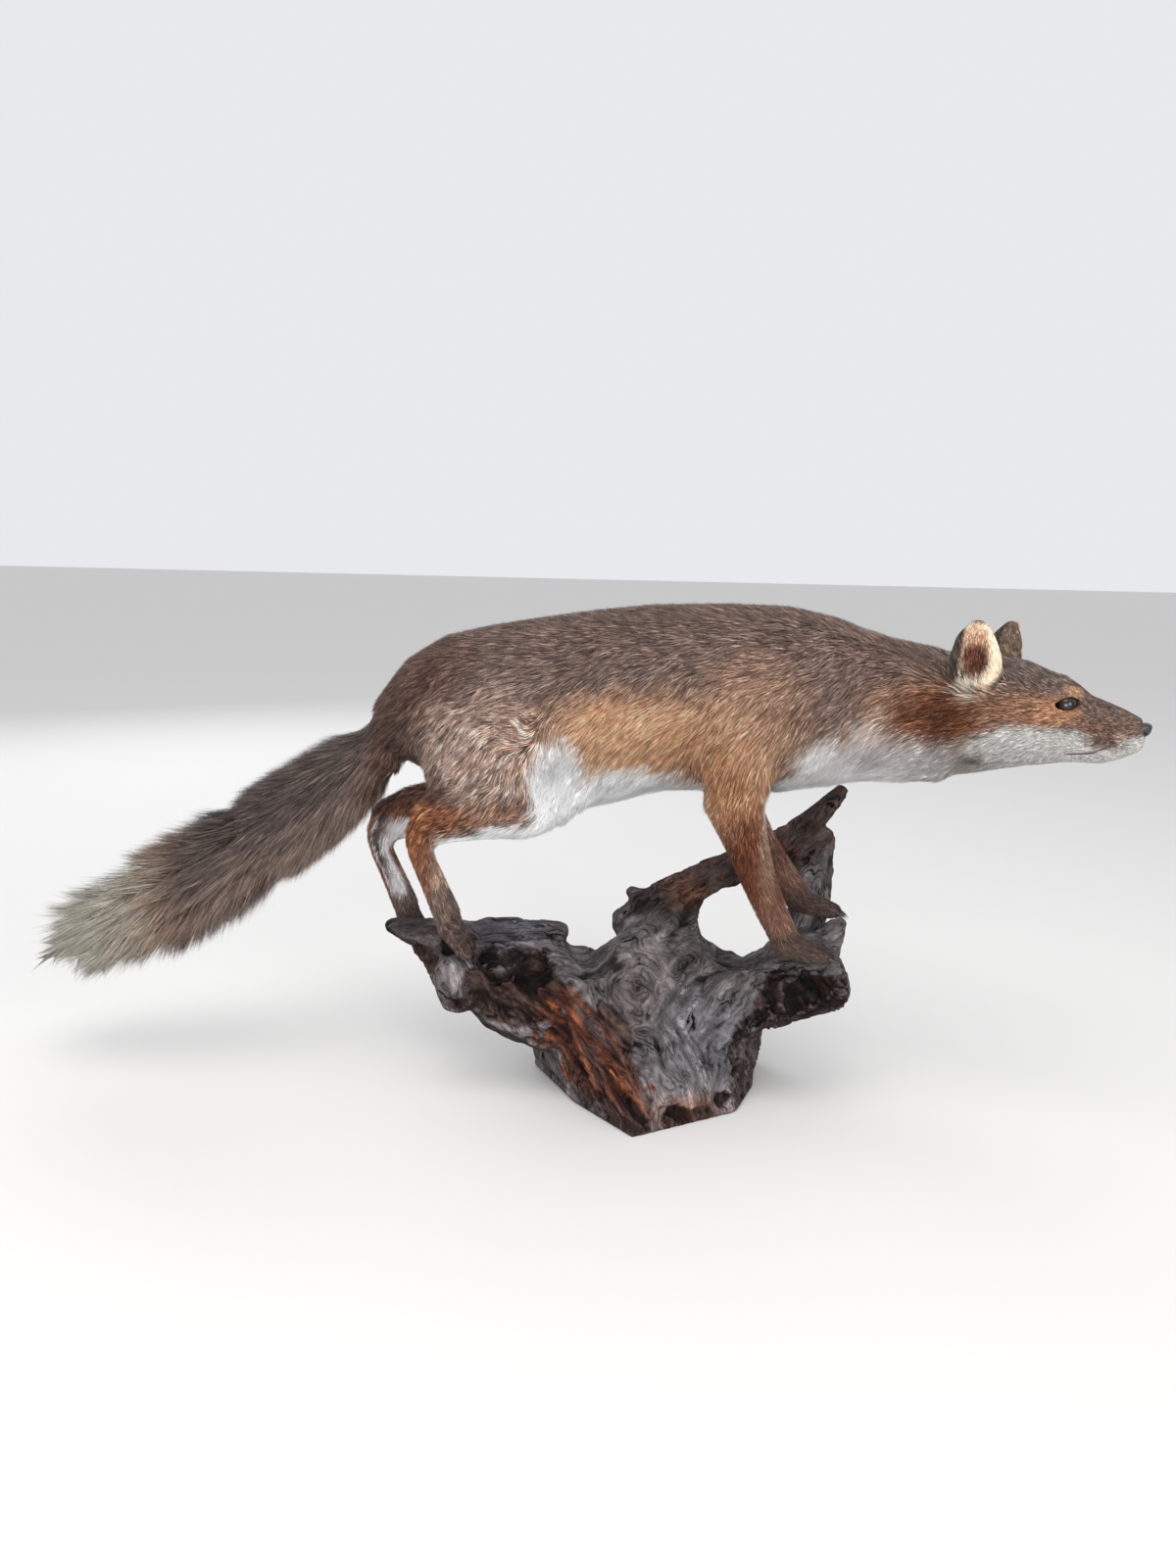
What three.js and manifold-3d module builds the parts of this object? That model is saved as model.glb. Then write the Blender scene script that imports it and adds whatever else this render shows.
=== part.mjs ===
// A life-size stalking red fox, mounted on a weathered tree root.
// Millimetres, +Z up. The origin is the middle of the root's flat foot.
// The fox faces +X, and its right flank is towards -Y.
import * as THREE from "three";
import { ConvexGeometry } from "three/addons/geometries/ConvexGeometry.js";
import { mergeVertices } from "three/addons/utils/BufferGeometryUtils.js";
import Module from "manifold-3d";

const wasm = await Module();
wasm.setup();

// ---------------------------------------------------------------- driving dimensions

const GAP = 0.35; // between touching pieces
const BACK_Z = 450; // top of the back, level from the withers to the loins
const BELLY_Z = 283; // underline behind the elbows
const RIB_HALF = 72; // half the width of the rib cage, with its coat
const STANCE = 54; // each leg from the middle of the body
const HEAD_TURN = 28; // degrees, towards the fox's right
const HEAD_AT = { x: 276, y: -35, z: 360 }; // between the ears, level with the eyes' floor
const EYE_RADIUS = 8.5;
const EYE_AT = { ahead: 70.5, aside: 17.2, up: 18 }; // from HEAD_AT
const NOSE_AHEAD = 129;
const MOUTH_PITCH = 13; // degrees, the lips rise towards the nose
const MOUTH_MIDDLE = { ahead: 88, up: -19 };
const JAW_BACK = 46; // where the lower jaw ends, ahead of HEAD_AT
const TAIL_RADIUS = 51; // the brush at its fullest
const TAIL_FULLNESS = [0.6, 0.78, 0.88, 0.92, 0.98, 1.01, 1.01, 0.95, 0.79, 0.42];
const FORE_STRIDE = 25; // the left fore paw is this far ahead of the right one
const FORE_LIFT = 9; // and this much higher
const HIND_STRIDE = 56; // the left hind paw is this far behind the right one
const HIND_DROP = 22; // and this much lower
const EAR_TOP = 82; // the last section of an ear, above HEAD_AT
const EAR_PRICK = 8; // the left ear leans this much further ahead than the right one
const EAR_DROP = 4; // it is this much lower
const EAR_TURN = 0.8; // and it is turned, so that it is narrower from the side

const UP = new THREE.Vector3(0, 0, 1);
const AHEAD = new THREE.Vector3(1, 0, 0);
const RIGHT = -1; // the fox's right side is towards -Y
const LEFT = 1;

// ---------------------------------------------------------------- solids from geometry

// A closed geometry as a manifold-3d solid.
function solidOf(geometry) {
  const bare = geometry.clone();
  bare.deleteAttribute("normal");
  bare.deleteAttribute("uv");
  const merged = mergeVertices(bare, 1e-3);
  return new wasm.Manifold(
    new wasm.Mesh({
      numProp: 3,
      vertProperties: new Float32Array(merged.attributes.position.array),
      triVerts: new Uint32Array(merged.index.array),
    }),
  );
}

// A solid as a geometry for a mesh.
function geometryOf(solid) {
  const { numProp, numVert, vertProperties, triVerts } = solid.getMesh();
  const xyz = new Float32Array(numVert * 3);
  for (let i = 0; i < numVert; i++) {
    xyz.set(vertProperties.subarray(i * numProp, i * numProp + 3), i * 3);
  }
  const geometry = new THREE.BufferGeometry();
  geometry.setAttribute("position", new THREE.BufferAttribute(xyz, 3));
  geometry.setIndex(new THREE.BufferAttribute(triVerts, 1));
  geometry.computeVertexNormals();
  return geometry;
}

const union = (solids) => solids.reduce((a, b) => a.add(b));
const without = (solid, cutters) => cutters.reduce((a, b) => a.subtract(b), solid);
const largest = (solid) => solid.decompose().sort((a, b) => b.volume() - a.volume())[0];

// One cross-section of a rounded body: where its middle is, its half width across,
// and how far it reaches over and under the middle.
const section = (x, y, z, across, over, under = over) => ({
  at: new THREE.Vector3(x, y, z),
  size: new THREE.Vector3(across, over, under),
});

const superellipse = (value, square) => Math.sign(value) * Math.abs(value) ** (2 / square);

// A sphere drawn out along its sections, with rounded ends. It returns a function of how much
// fatter than its sections the body is to be. "over" is the way that a section's over and under
// are measured, and "square" makes a section boxier above 2.
function body(sections, { over = UP, around = 12, capRings = 2, square = 2, roundness = 0.5 } = {}) {
  const line = new THREE.CatmullRomCurve3(sections.map((s) => s.at), false, "catmullrom");
  const sizes = new THREE.CatmullRomCurve3(sections.map((s) => s.size), false, "catmullrom");
  const rings = sections.length - 1 + 2 * capRings;

  return (fatter = 0) => {
    const geometry = new THREE.SphereGeometry(1, around, rings);
    const position = geometry.attributes.position;
    for (let i = 0; i < position.count; i++) {
      const ring = Math.floor(i / (around + 1));
      const turn = ((i % (around + 1)) / around) * 2 * Math.PI;
      const along = THREE.MathUtils.clamp((ring - capRings) / (rings - 2 * capRings), 0, 1);
      const beyond = Math.max(capRings - ring, ring - (rings - capRings), 0) / capRings;
      const size = sizes.getPoint(along).addScalar(fatter);
      const tangent = line.getTangent(along);
      const rise = over.clone().addScaledVector(tangent, -over.dot(tangent)).normalize();
      const side = new THREE.Vector3().crossVectors(tangent, rise);
      const shrink = Math.cos((beyond * Math.PI) / 2);
      const reach = Math.sin((beyond * Math.PI) / 2) * roundness * Math.min(size.x, size.y + size.z);
      const lift = superellipse(Math.sin(turn), square) * shrink;
      const point = line
        .getPoint(along)
        .addScaledVector(side, superellipse(Math.cos(turn), square) * size.x * shrink)
        .addScaledVector(rise, lift * (lift > 0 ? size.y : size.z))
        .addScaledVector(tangent, ring < capRings ? -reach : reach);
      position.setXYZ(i, point.x, point.y, point.z);
    }
    return solidOf(geometry);
  };
}

// An ellipsoid.
function ball(at, radii, turnZ = 0, around = 10) {
  const geometry = new THREE.SphereGeometry(1, around, Math.ceil(around / 2) + 1);
  geometry.scale(radii[0], radii[1], radii[2]);
  geometry.rotateZ(THREE.MathUtils.degToRad(turnZ));
  geometry.translate(at[0], at[1], at[2]);
  return solidOf(geometry);
}

// A thin flat cut, square to "facing", with the given reach along the body and across it.
function slab([x, y, z], facing, reach, breadth = reach) {
  const towards = new THREE.Vector3(...facing).normalize();
  const geometry = new THREE.BoxGeometry(reach, breadth, GAP);
  geometry.applyQuaternion(new THREE.Quaternion().setFromUnitVectors(UP, towards));
  return solidOf(geometry.translate(x, y, z));
}

// Parts a solid with thin cuts. Each piece takes the name of the point nearest its middle.
function parted(solid, cuts, names) {
  const found = {};
  for (const piece of without(solid, cuts).decompose()) {
    const { min, max } = piece.boundingBox();
    const middle = new THREE.Vector3(...min).add(new THREE.Vector3(...max)).divideScalar(2);
    const away = ([, at]) => middle.distanceTo(new THREE.Vector3(...at));
    const [name] = Object.entries(names).reduce((a, b) => (away(a) < away(b) ? a : b));
    if (!found[name] || found[name].volume() < piece.volume()) found[name] = piece;
  }
  return found;
}

// The head's own frame: ahead to the nose, aside to the left or the right, and up.
const headAxisVector = AHEAD.clone().applyAxisAngle(UP, -THREE.MathUtils.degToRad(HEAD_TURN));
const headSide = new THREE.Vector3().crossVectors(UP, headAxisVector);
function onHead(ahead, aside, up, side = LEFT) {
  return new THREE.Vector3(HEAD_AT.x, HEAD_AT.y, HEAD_AT.z)
    .addScaledVector(headAxisVector, ahead)
    .addScaledVector(headSide, aside * side)
    .addScaledVector(UP, up)
    .toArray();
}
const headSection = (ahead, level, across, over, under) =>
  section(...onHead(ahead, 0, level), across, over, under);

// ---------------------------------------------------------------- head, neck, trunk and tail

const trunk = body(
  [
    section(-241, 0, 331, 31, 34, 24),
    section(-213, 0, 338, 54, 58, 47),
    section(-180, 0, 346, 67, 72, 56),
    section(-140, 0, 350, RIB_HALF - 2, 78, 80),
    section(-95, 0, 354, RIB_HALF - 3, 82, 98),
    section(-50, 0, 358, RIB_HALF - 3, 85, 91),
    section(0, 0, 364, RIB_HALF - 1, BACK_Z - 365, 83),
    section(60, 0, 366, RIB_HALF, BACK_Z - 365, 366 - BELLY_Z),
    section(110, 0, 365, RIB_HALF, 85, 83),
    section(150, -1, 364, RIB_HALF - 8, 78, 76),
    section(185, -5, 362, 59, 66, 67),
    section(220, -15, 359, 54, 62, 63),
    section(250, -25, 358, 50, 59, 59),
  ],
  { around: 18, square: 2.15 },
);

const skull = body(
  [
    headSection(-34, 2, 50, 54, 60),
    headSection(-12, -4, 57, 60, 50),
    headSection(12, -5, 57, 59, 41),
    headSection(34, -5, 48, 57, 35),
    headSection(52, -5, 39, 49, 31),
    headSection(66, -5, 30, 46.5, 28),
    headSection(78, -5, 24.5, 38.5, 26),
    headSection(88, -4.5, 22, 30, 26),
    headSection(98, -4, 20, 26, 26),
    headSection(111, -3.5, 17.5, 20, 22.5),
    headSection(124, -4.5, 14.5, 14.5, 15),
  ],
  { around: 16, square: 2.1 },
);

// The nose pad, wide above and narrow below.
const nosePad = body(
  [headSection(124, 0.5, 7, 6, 7), headSection(NOSE_AHEAD, 0.5, 8.2, 6.6, 7.2)],
  { around: 10, roundness: 0.7 },
);

// An ear is a leaf, cupped towards the side. It leans out as it rises.
function ear(side) {
  const [prick, turn, drop] = side === LEFT ? [EAR_PRICK, EAR_TURN, EAR_DROP] : [0, 1, 0];
  const earSection = (ahead, aside, up, half, thick) => {
    const share = up / EAR_TOP;
    return section(...onHead(ahead + prick * share, aside, up - drop * share, side), thick, half * turn);
  };
  const leaf = body(
    [
      earSection(2, 35, 20, 20, 12),
      earSection(1, 39, 38, 22.5, 12),
      earSection(1, 43.5, 54, 21.5, 9.5),
      earSection(1.5, 48, 70, 16.5, 6.5),
      earSection(3.5, 51, 82, 7.5, 3.5),
    ],
    { over: headAxisVector, around: 10, roundness: 0.8 },
  );
  const cup = body(
    [
      earSection(4, 55, 28, 7, 9),
      earSection(3, 57, 42, 15.5, 13.5),
      earSection(3, 58, 60, 15.5, 11.5),
      earSection(3.5, 58, 73, 9, 8),
    ],
    { over: headAxisVector, around: 8 },
  );
  return leaf().subtract(cup());
}

// Eyeballs sit deep in the head. Only the front of each shows between the lids.
const eyeball = (side, fatter = 0) =>
  ball(onHead(EYE_AT.ahead, EYE_AT.aside, EYE_AT.up, side), [1, 1, 1].map(() => EYE_RADIUS + fatter));

const tailLine = new THREE.QuadraticBezierCurve3(
  new THREE.Vector3(-251, 0, 312),
  new THREE.Vector3(-420, 0, 165),
  new THREE.Vector3(-566, 0, 112),
);
const tail = body(
  TAIL_FULLNESS.map((fullness, i) => {
    const { x, y, z } = tailLine.getPoint(i / (TAIL_FULLNESS.length - 1));
    const half = TAIL_RADIUS * fullness;
    return section(x, y, z, half * 0.92, half);
  }),
  { around: 14, roundness: 0.6 },
);

// ---------------------------------------------------------------- legs

// A paw runs ahead and down from its joint: a pad and four toes.
function paw(joint, run) {
  const place = (share, aside, lift) => [
    joint.x + run.x * share,
    joint.y + aside,
    joint.z + run.z * share + lift,
  ];
  const pad = body(
    [
      section(...place(-0.1, 0, 0), 13.5, 13, 12),
      section(...place(0.4, 0, -1), 16, 11, 11),
      section(...place(0.85, 0, -2), 16, 9, 9),
    ],
    { around: 8 },
  );
  const toes = [-11.5, -4.2, 4.2, 11.5].map((aside) => {
    const reach = Math.abs(aside) < 6 ? 1.2 : 1.02;
    return body(
      [
        section(...place(0.7, aside, -1), 5.8, 8.5, 8),
        section(...place(reach, aside * 1.06, -2.5), 5.2, 6.5),
      ],
      { around: 6, capRings: 1 },
    );
  });
  return [pad, ...toes];
}

function foreLeg(side) {
  const stride = side === LEFT ? FORE_STRIDE : 0;
  const lift = side === LEFT ? FORE_LIFT : 0;
  const atSide = (share, x, y, z, ...size) =>
    section(x + stride * share, y * side, z + lift * share, ...size);
  const leg = body(
    [
      atSide(0, 76, 44, 350, 30, 40, 42),
      atSide(0, 68, 50, 308, 24, 36, 33),
      atSide(0.1, 67, STANCE, 278, 19.5, 27, 26),
      atSide(0.3, 79, STANCE + 1, 247, 16.5, 20, 20),
      atSide(0.6, 92, STANCE + 1, 212, 14, 16, 16),
      atSide(0.85, 105, STANCE, 184, 13, 14.5, 14.5),
      atSide(1, 115, STANCE, 164, 14, 14, 13),
    ],
    { over: AHEAD, around: 10 },
  );
  const wrist = { x: 117 + stride, y: STANCE * side, z: 156 + lift };
  return [leg, ...paw(wrist, { x: 35, z: -7 })];
}

function hindLeg(side) {
  const stride = side === LEFT ? -HIND_STRIDE : 0;
  const drop = side === LEFT ? -HIND_DROP : 0;
  const atSide = (share, x, y, z, ...size) =>
    section(x + stride * share, y * side, z + drop * share, ...size);
  const thigh = body(
    [
      atSide(0, -172, 30, 380, 30, 46, 42),
      atSide(0, -163, 40, 348, 34, 62, 58),
      atSide(0.15, -146, 45, 308, 31, 62, 60),
      atSide(0.2, -132, 49, 272, 23, 46, 48),
    ],
    { over: AHEAD, around: 10, roundness: 1.1 },
  );
  const shank = body(
    [
      atSide(0.2, -106, 50, 266, 19, 24, 22),
      atSide(0.5, -150, 50, 267, 17, 27, 26),
      atSide(0.85, -182, 50, 262, 13.5, 27, 25),
      atSide(1, -203, 50, 254, 11.5, 22, 22),
    ],
    { around: 10, roundness: 1.1 },
  );
  const cannon = body(
    [
      atSide(1, -209, 50, 250, 11.5, 12, 13),
      atSide(1, -205, 50, 226, 11, 11, 12),
      atSide(1, -193, 50, 198, 11.5, 12, 12.5),
      atSide(1, -182, 50, 170, 13, 14, 13),
    ],
    { over: AHEAD, around: 8 },
  );
  const flankFold = body(
    [atSide(0, -66, 40, 296, 16, 26, 26), atSide(0.15, -96, 46, 268, 15, 20, 22)],
    { around: 7 },
  );
  const ankle = { x: -180 + stride, y: 50 * side, z: 161 + drop };
  return [thigh, shank, cannon, flankFold, ...paw(ankle, { x: 17, z: -21 })];
}

// ---------------------------------------------------------------- the root

// The lump that carries it all: a prow of wood, sharp towards -Y, on a flat sawn foot.
function rootBlock() {
  const sawnFoot = [
    [-13, -120], [45, -84], [80, -66], [100, -14], [108, 48], [60, 86], [-66, 80], [-108, 20], [-66, -58],
  ];
  const prow = [[4, -82, 34], [-46, -70, 86], [-92, -56, 114], [82, -48, 62], [102, -8, 92]];
  const crown = [[-74, 20, 104], [14, 40, 160], [44, 44, 166], [40, 78, 160], [88, 66, 108]];
  const corners = [
    ...sawnFoot.map(([x, y]) => [x, y, 0]),
    ...sawnFoot.slice(3, 8).map(([x, y]) => [x * 1.07, y * 1.06, 36]),
    ...prow,
    ...crown,
  ];
  return solidOf(new ConvexGeometry(corners.map((corner) => new THREE.Vector3(...corner))));
}

function rootLimbs() {
  const leftArm = body(
    [
      section(-60, 0, 92, 66, 32, 62),
      section(-100, -4, 98, 62, 38, 65),
      section(-140, -4, 106, 58, 34, 52),
      section(-172, 2, 112, 52, 27, 24),
      section(-204, 32, 120, 34, 13, 10),
    ],
    { around: 10, square: 2.6 },
  );
  const tongue = body(
    [section(-170, 6, 128, 40, 16, 20), section(-212, 12, 136, 28, 12, 16), section(-244, 16, 139, 17, 8, 9)],
    { around: 8, square: 2.5 },
  );
  const knob = body(
    [section(-182, -42, 124, 16, 17), section(-174, -45, 104, 21, 22), section(-168, -46, 88, 18, 20)],
    { over: AHEAD, around: 8 },
  );
  const rightArm = body(
    [
      section(60, 0, 92, 62, 22, 60),
      section(100, -2, 104, 60, 26, 44),
      section(140, -2, 110, 62, 30, 34),
      section(166, 2, 114, 64, 30, 30),
    ],
    { around: 10, square: 2.7, roundness: 0.18 },
  );
  const horn = body(
    [section(168, 36, 124, 20, 20), section(182, 38, 152, 7, 8)],
    { over: AHEAD, around: 8 },
  );
  const beam = body(
    [
      section(-14, 44, 126, 36, 30, 30),
      section(20, 58, 156, 30, 25, 26),
      section(58, 70, 181, 20, 18, 22),
      section(100, 78, 201, 15, 14, 18),
      section(134, 84, 220, 14, 13, 14),
      section(164, 86, 244, 12, 11, 12),
      section(188, 88, 270, 8, 7, 8),
    ],
    { around: 10, square: 2.5, roundness: 0.4 },
  );
  const fin = body(
    [
      section(150, 78, 124, 15, 26, 22),
      section(160, 84, 165, 11, 22, 20),
      section(165, 85, 200, 10, 20, 32),
      section(170, 86, 228, 8, 12, 18),
    ],
    { over: AHEAD, around: 8, square: 2.5 },
  );
  const stub = body([section(8, 62, 156, 12, 9), section(-20, 66, 166, 9, 7)], { around: 8 });
  return [leftArm, tongue, knob, rightArm, horn, beam, fin, stub].map((shape) => shape());
}

// What decay has taken out of the root: the smooth dish in front, the arms' dark hollows,
// the two gaps beside the beam and the broken left underside.
function rootHollows() {
  return [
    ball([60, -80, 116], [56, 52, 66], 24, 16),
    ball([-134, -50, 136], [22, 28, 20]),
    ball([-108, -58, 126], [18, 26, 16]),
    ball([126, -78, 111], [39, 38, 25]),
    ball([-64, 26, 150], [23, 90, 44], 8),
    ball([-104, -106, 50], [44, 56, 32], 36),
    ball([82, 40, 140], [38, 80, 37]),
  ];
}

// A flat ledge of sound wood that stays above the left arm and ends over the gap.
const rootLedge = body(
  [section(-158, 30, 134, 22, 10, 16), section(-120, 30, 133, 24, 11, 18), section(-86, 32, 131, 20, 11, 12)],
  { around: 8, square: 2.6, roundness: 0.5 },
);

// ---------------------------------------------------------------- parting the animal

const limbs = [foreLeg(RIGHT), foreLeg(LEFT), hindLeg(RIGHT), hindLeg(LEFT)].flat();
const whole = without(union([trunk, skull, tail, ...limbs].map((shape) => shape())), [
  eyeball(RIGHT, GAP),
  eyeball(LEFT, GAP),
  nosePad(GAP),
]);

// The closed mouth: a cut along the lips, and one across behind them.
function mouthCuts() {
  const lips = new THREE.BoxGeometry(110, 70, GAP);
  lips.rotateY(-THREE.MathUtils.degToRad(MOUTH_PITCH)).translate(MOUTH_MIDDLE.ahead, 0, MOUTH_MIDDLE.up);
  const behind = new THREE.BoxGeometry(GAP, 130, 60).translate(JAW_BACK, 0, -58.5);
  return [lips, behind].map((geometry) => {
    geometry.rotateZ(-THREE.MathUtils.degToRad(HEAD_TURN));
    return solidOf(geometry.translate(HEAD_AT.x, HEAD_AT.y, HEAD_AT.z));
  });
}

const cuts = [
  ...mouthCuts(),
  slab(onHead(-30, 0, 0), [headAxisVector.x, headAxisVector.y, -0.12], 190),
  slab([178, -4, 360], [1, -0.15, -0.25], 200),
  slab([8, 0, 365], [1, 0, 0], 220),
  slab([-88, 0, 345], [1, 0, 0], 240),
  slab([-243, 0, 302], [0.83, 0, 0.56], 150),
  slab([-352, 0, 216], [0.83, 0, 0.56], 140),
  slab([-470, 0, 149], [0.93, 0, 0.36], 140),
];
const middles = {
  head: onHead(50, 0, 6),
  lower_jaw: onHead(85, 0, -27),
  neck: [215, -12, 360],
  trunk_chest: [94, 0, 365],
  trunk_loins: [-42, 0, 355],
  trunk_rump: [-170, 0, 345],
  tail_base: [-295, 0, 262],
  tail_middle: [-410, 0, 180],
  tail_tip: [-530, 0, 128],
};
for (const [name, side] of [["right", RIGHT], ["left", LEFT]]) {
  const isLeft = side === LEFT;
  const [foreX, foreZ] = isLeft ? [FORE_STRIDE, FORE_LIFT] : [0, 0];
  const [hindX, hindZ] = isLeft ? [-HIND_STRIDE, -HIND_DROP] : [0, 0];
  cuts.push(
    slab([70, 56 * side, 286], [-0.2, 0, 1], 80, 50),
    slab([116 + foreX, STANCE * side, 162 + foreZ], [0.3, 0, -0.95], 46, 44),
    slab([-169, 34 * side, 345], [0, 1, 0], 162, 220),
    slab([-158 + hindX * 0.35, 54 * side, 268 + hindZ * 0.4], [0.45, 0, 0.9], 160, 70),
    slab([-208 + hindX, 50 * side, 234 + hindZ], [0.2, 0, 1], 50, 44),
    slab([-182 + hindX, 50 * side, 166 + hindZ], [0.37, 0, -0.93], 46, 44),
  );
  middles[`fore_leg_${name}`] = [95 + foreX / 2, 55 * side, 222];
  middles[`fore_paw_${name}`] = [135 + foreX, 55 * side, 150 + foreZ];
  middles[`thigh_${name}`] = [-160, 55 * side, 330];
  middles[`shank_${name}`] = [-165 + hindX / 2, 50 * side, 260];
  middles[`hock_${name}`] = [-196 + hindX, 50 * side, 200 + hindZ];
  middles[`hind_paw_${name}`] = [-170 + hindX, 50 * side, 148 + hindZ];
}

const flesh = parted(whole, cuts, middles);
for (const [name, side] of [["right", RIGHT], ["left", LEFT]]) {
  flesh[`ear_${name}`] = largest(without(ear(side), [skull(GAP), trunk(GAP)]));
}

const underFloor = solidOf(new THREE.BoxGeometry(600, 600, 200).translate(0, 0, -100));
const root = largest(
  without(without(union([rootBlock(), ...rootLimbs()]), rootHollows()).add(rootLedge()), [
    underFloor,
    ...limbs.map((shape) => shape(GAP)),
  ]),
);

// ---------------------------------------------------------------- the scene graph

const coat = new THREE.MeshStandardMaterial({ color: 0x8a6a52, roughness: 0.95 });
const earCoat = new THREE.MeshStandardMaterial({ color: 0x4a372c, roughness: 0.95 });
const paleCoat = new THREE.MeshStandardMaterial({ color: 0xcfc8ba, roughness: 0.95 });
const eyeGlass = new THREE.MeshStandardMaterial({ color: 0x1a0f08, roughness: 0.05 });
const noseLeather = new THREE.MeshStandardMaterial({ color: 0x161312, roughness: 0.45 });
const wood = new THREE.MeshStandardMaterial({ color: 0x6f675f, roughness: 0.9 });

const fox = new THREE.Group();

function add(name, solid, material) {
  const mesh = new THREE.Mesh(geometryOf(solid), material);
  mesh.name = name;
  fox.add(mesh);
}

for (const [name, solid] of Object.entries(flesh)) {
  let material = coat;
  if (name.startsWith("ear")) material = earCoat;
  if (name === "tail_tip" || name === "lower_jaw") material = paleCoat;
  add(name, solid, material);
}
add("eye_right", eyeball(RIGHT), eyeGlass);
add("eye_left", eyeball(LEFT), eyeGlass);
add("nose", nosePad(), noseLeather);
add("stand_root", root, wood);

export default fox;
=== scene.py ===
# %% [markdown]
# # A mounted red fox on its root
# The solids of the part give every place and size. Here each of them gets its looks: one skin for
# the whole animal, a coat of small solid tufts, eyes, nose, lips and claws, and the weathered wood.

# %% Load the solids
import math

import bmesh
import bpy
import numpy as np
from mathutils import Matrix, Vector
from mathutils.bvhtree import BVHTree
from mathutils.kdtree import KDTree


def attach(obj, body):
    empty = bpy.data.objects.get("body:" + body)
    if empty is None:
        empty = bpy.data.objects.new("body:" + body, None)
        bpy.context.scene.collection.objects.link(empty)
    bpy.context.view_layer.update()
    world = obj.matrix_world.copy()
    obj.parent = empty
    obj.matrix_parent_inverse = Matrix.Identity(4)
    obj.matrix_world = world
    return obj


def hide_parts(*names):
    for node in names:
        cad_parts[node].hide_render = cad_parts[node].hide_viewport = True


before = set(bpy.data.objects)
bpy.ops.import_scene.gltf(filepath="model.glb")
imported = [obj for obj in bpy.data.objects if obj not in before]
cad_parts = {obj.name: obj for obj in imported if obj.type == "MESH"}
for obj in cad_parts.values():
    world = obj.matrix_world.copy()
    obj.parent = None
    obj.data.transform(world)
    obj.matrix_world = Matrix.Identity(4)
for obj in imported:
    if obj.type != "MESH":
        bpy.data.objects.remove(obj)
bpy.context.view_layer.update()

# %% [markdown]
# ## Small tools
# Sizes on the fox and its root are in millimetres, and become metres only where a mesh is made.
# The camera and the lights are placed in metres. Soft steps blend one form or colour into the
# next, and a lattice noise gives the unevenness of hair and wood.

# %% Blending and noise
MM = 0.001
SIDES = {"right": -1, "left": 1}
STEP_PRIMES, SEED_PRIME, MIXER = (73856093, 19349663, 83492791), 668265263, 1274126177
SEED_SHIFT = 7.13
chance = np.random.default_rng(23)


def ease(low, high, x):
    """A soft step from 0 at low to 1 at high, also where high is the smaller number."""
    t = np.clip((x - low) / (high - low), 0, 1)
    return t * t * (3 - 2 * t)


def tinged(values, share, towards):
    """Values drawn towards others, by a share from 0 to 1 at each point."""
    return values + share[:, None] * (towards - values)


def unit(v):
    return v / np.maximum(np.linalg.norm(v, axis=-1, keepdims=True), 1e-9)


def noise(points, lump, seed=0):
    """Smooth noise from -1 to 1 at the points, with lumps of the given size."""
    place = np.asarray(points, float) / lump + seed * SEED_SHIFT
    cell = np.floor(place).astype(np.int64)
    part = place - cell
    part = part * part * (3 - 2 * part)
    total = np.zeros(len(place))
    for corner in np.ndindex(2, 2, 2):
        x, y, z = ((cell + corner) * STEP_PRIMES).T
        mixed = x ^ y ^ z ^ (seed * SEED_PRIME)
        mixed = ((mixed ^ (mixed >> 13)) * MIXER) & 0x7FFFFFFF
        value = ((mixed ^ (mixed >> 16)) & 0xFFFF) / 32767.5 - 1
        total += value * np.prod(np.where(corner, part, 1 - part), axis=1)
    return total


def rough(points, lump, seed=0, rounds=3):
    """Noise with finer and finer lumps added, each half as strong."""
    return sum(noise(points, lump / 2**k, seed + k) / 2**k for k in range(rounds))


def paint(red, green, blue):
    """A colour as it looks on screen, from 0 to 255, turned into linear light."""
    c = np.array([red, green, blue]) / 255
    return np.where(c <= 0.04045, c / 12.92, ((c + 0.055) / 1.055) ** 2.4)


print("noise at three places", noise(np.eye(3), 2.0).round(2))


# %% Meshes from arrays and back
def build(name, points, faces, smooth=True):
    """An object from points in millimetres and faces that all have as many corners."""
    faces = np.asarray(faces, dtype=np.int32)
    count, corners = faces.shape
    mesh = bpy.data.meshes.new(name)
    mesh.vertices.add(len(points))
    mesh.vertices.foreach_set("co", (np.asarray(points) * MM).astype(np.float32).ravel())
    mesh.loops.add(count * corners)
    mesh.loops.foreach_set("vertex_index", faces.ravel())
    mesh.polygons.add(count)
    mesh.polygons.foreach_set("loop_start", np.arange(count, dtype=np.int32) * corners)
    mesh.polygons.foreach_set("use_smooth", np.full(count, smooth))
    mesh.update(calc_edges=True)
    made = bpy.data.objects.new(name, mesh)
    bpy.context.scene.collection.objects.link(made)
    return made


def read(mesh):
    """A mesh of triangles as points in millimetres, faces and edges."""
    points = np.empty(len(mesh.vertices) * 3, np.float32)
    mesh.vertices.foreach_get("co", points)
    faces = np.empty(len(mesh.loops), np.int32)
    mesh.loops.foreach_get("vertex_index", faces)
    edges = np.empty(len(mesh.edges) * 2, np.int32)
    mesh.edges.foreach_get("vertices", edges)
    return points.reshape(-1, 3).astype(float) / MM, faces.reshape(-1, 3), edges.reshape(-1, 2)


def normals_of(points, faces):
    a, b, c = (points[faces[:, k]] for k in range(3))
    face = np.cross(b - a, c - a)
    total = [np.bincount(faces.ravel(), np.repeat(face[:, k], 3), len(points)) for k in range(3)]
    return unit(np.stack(total, 1))


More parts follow.
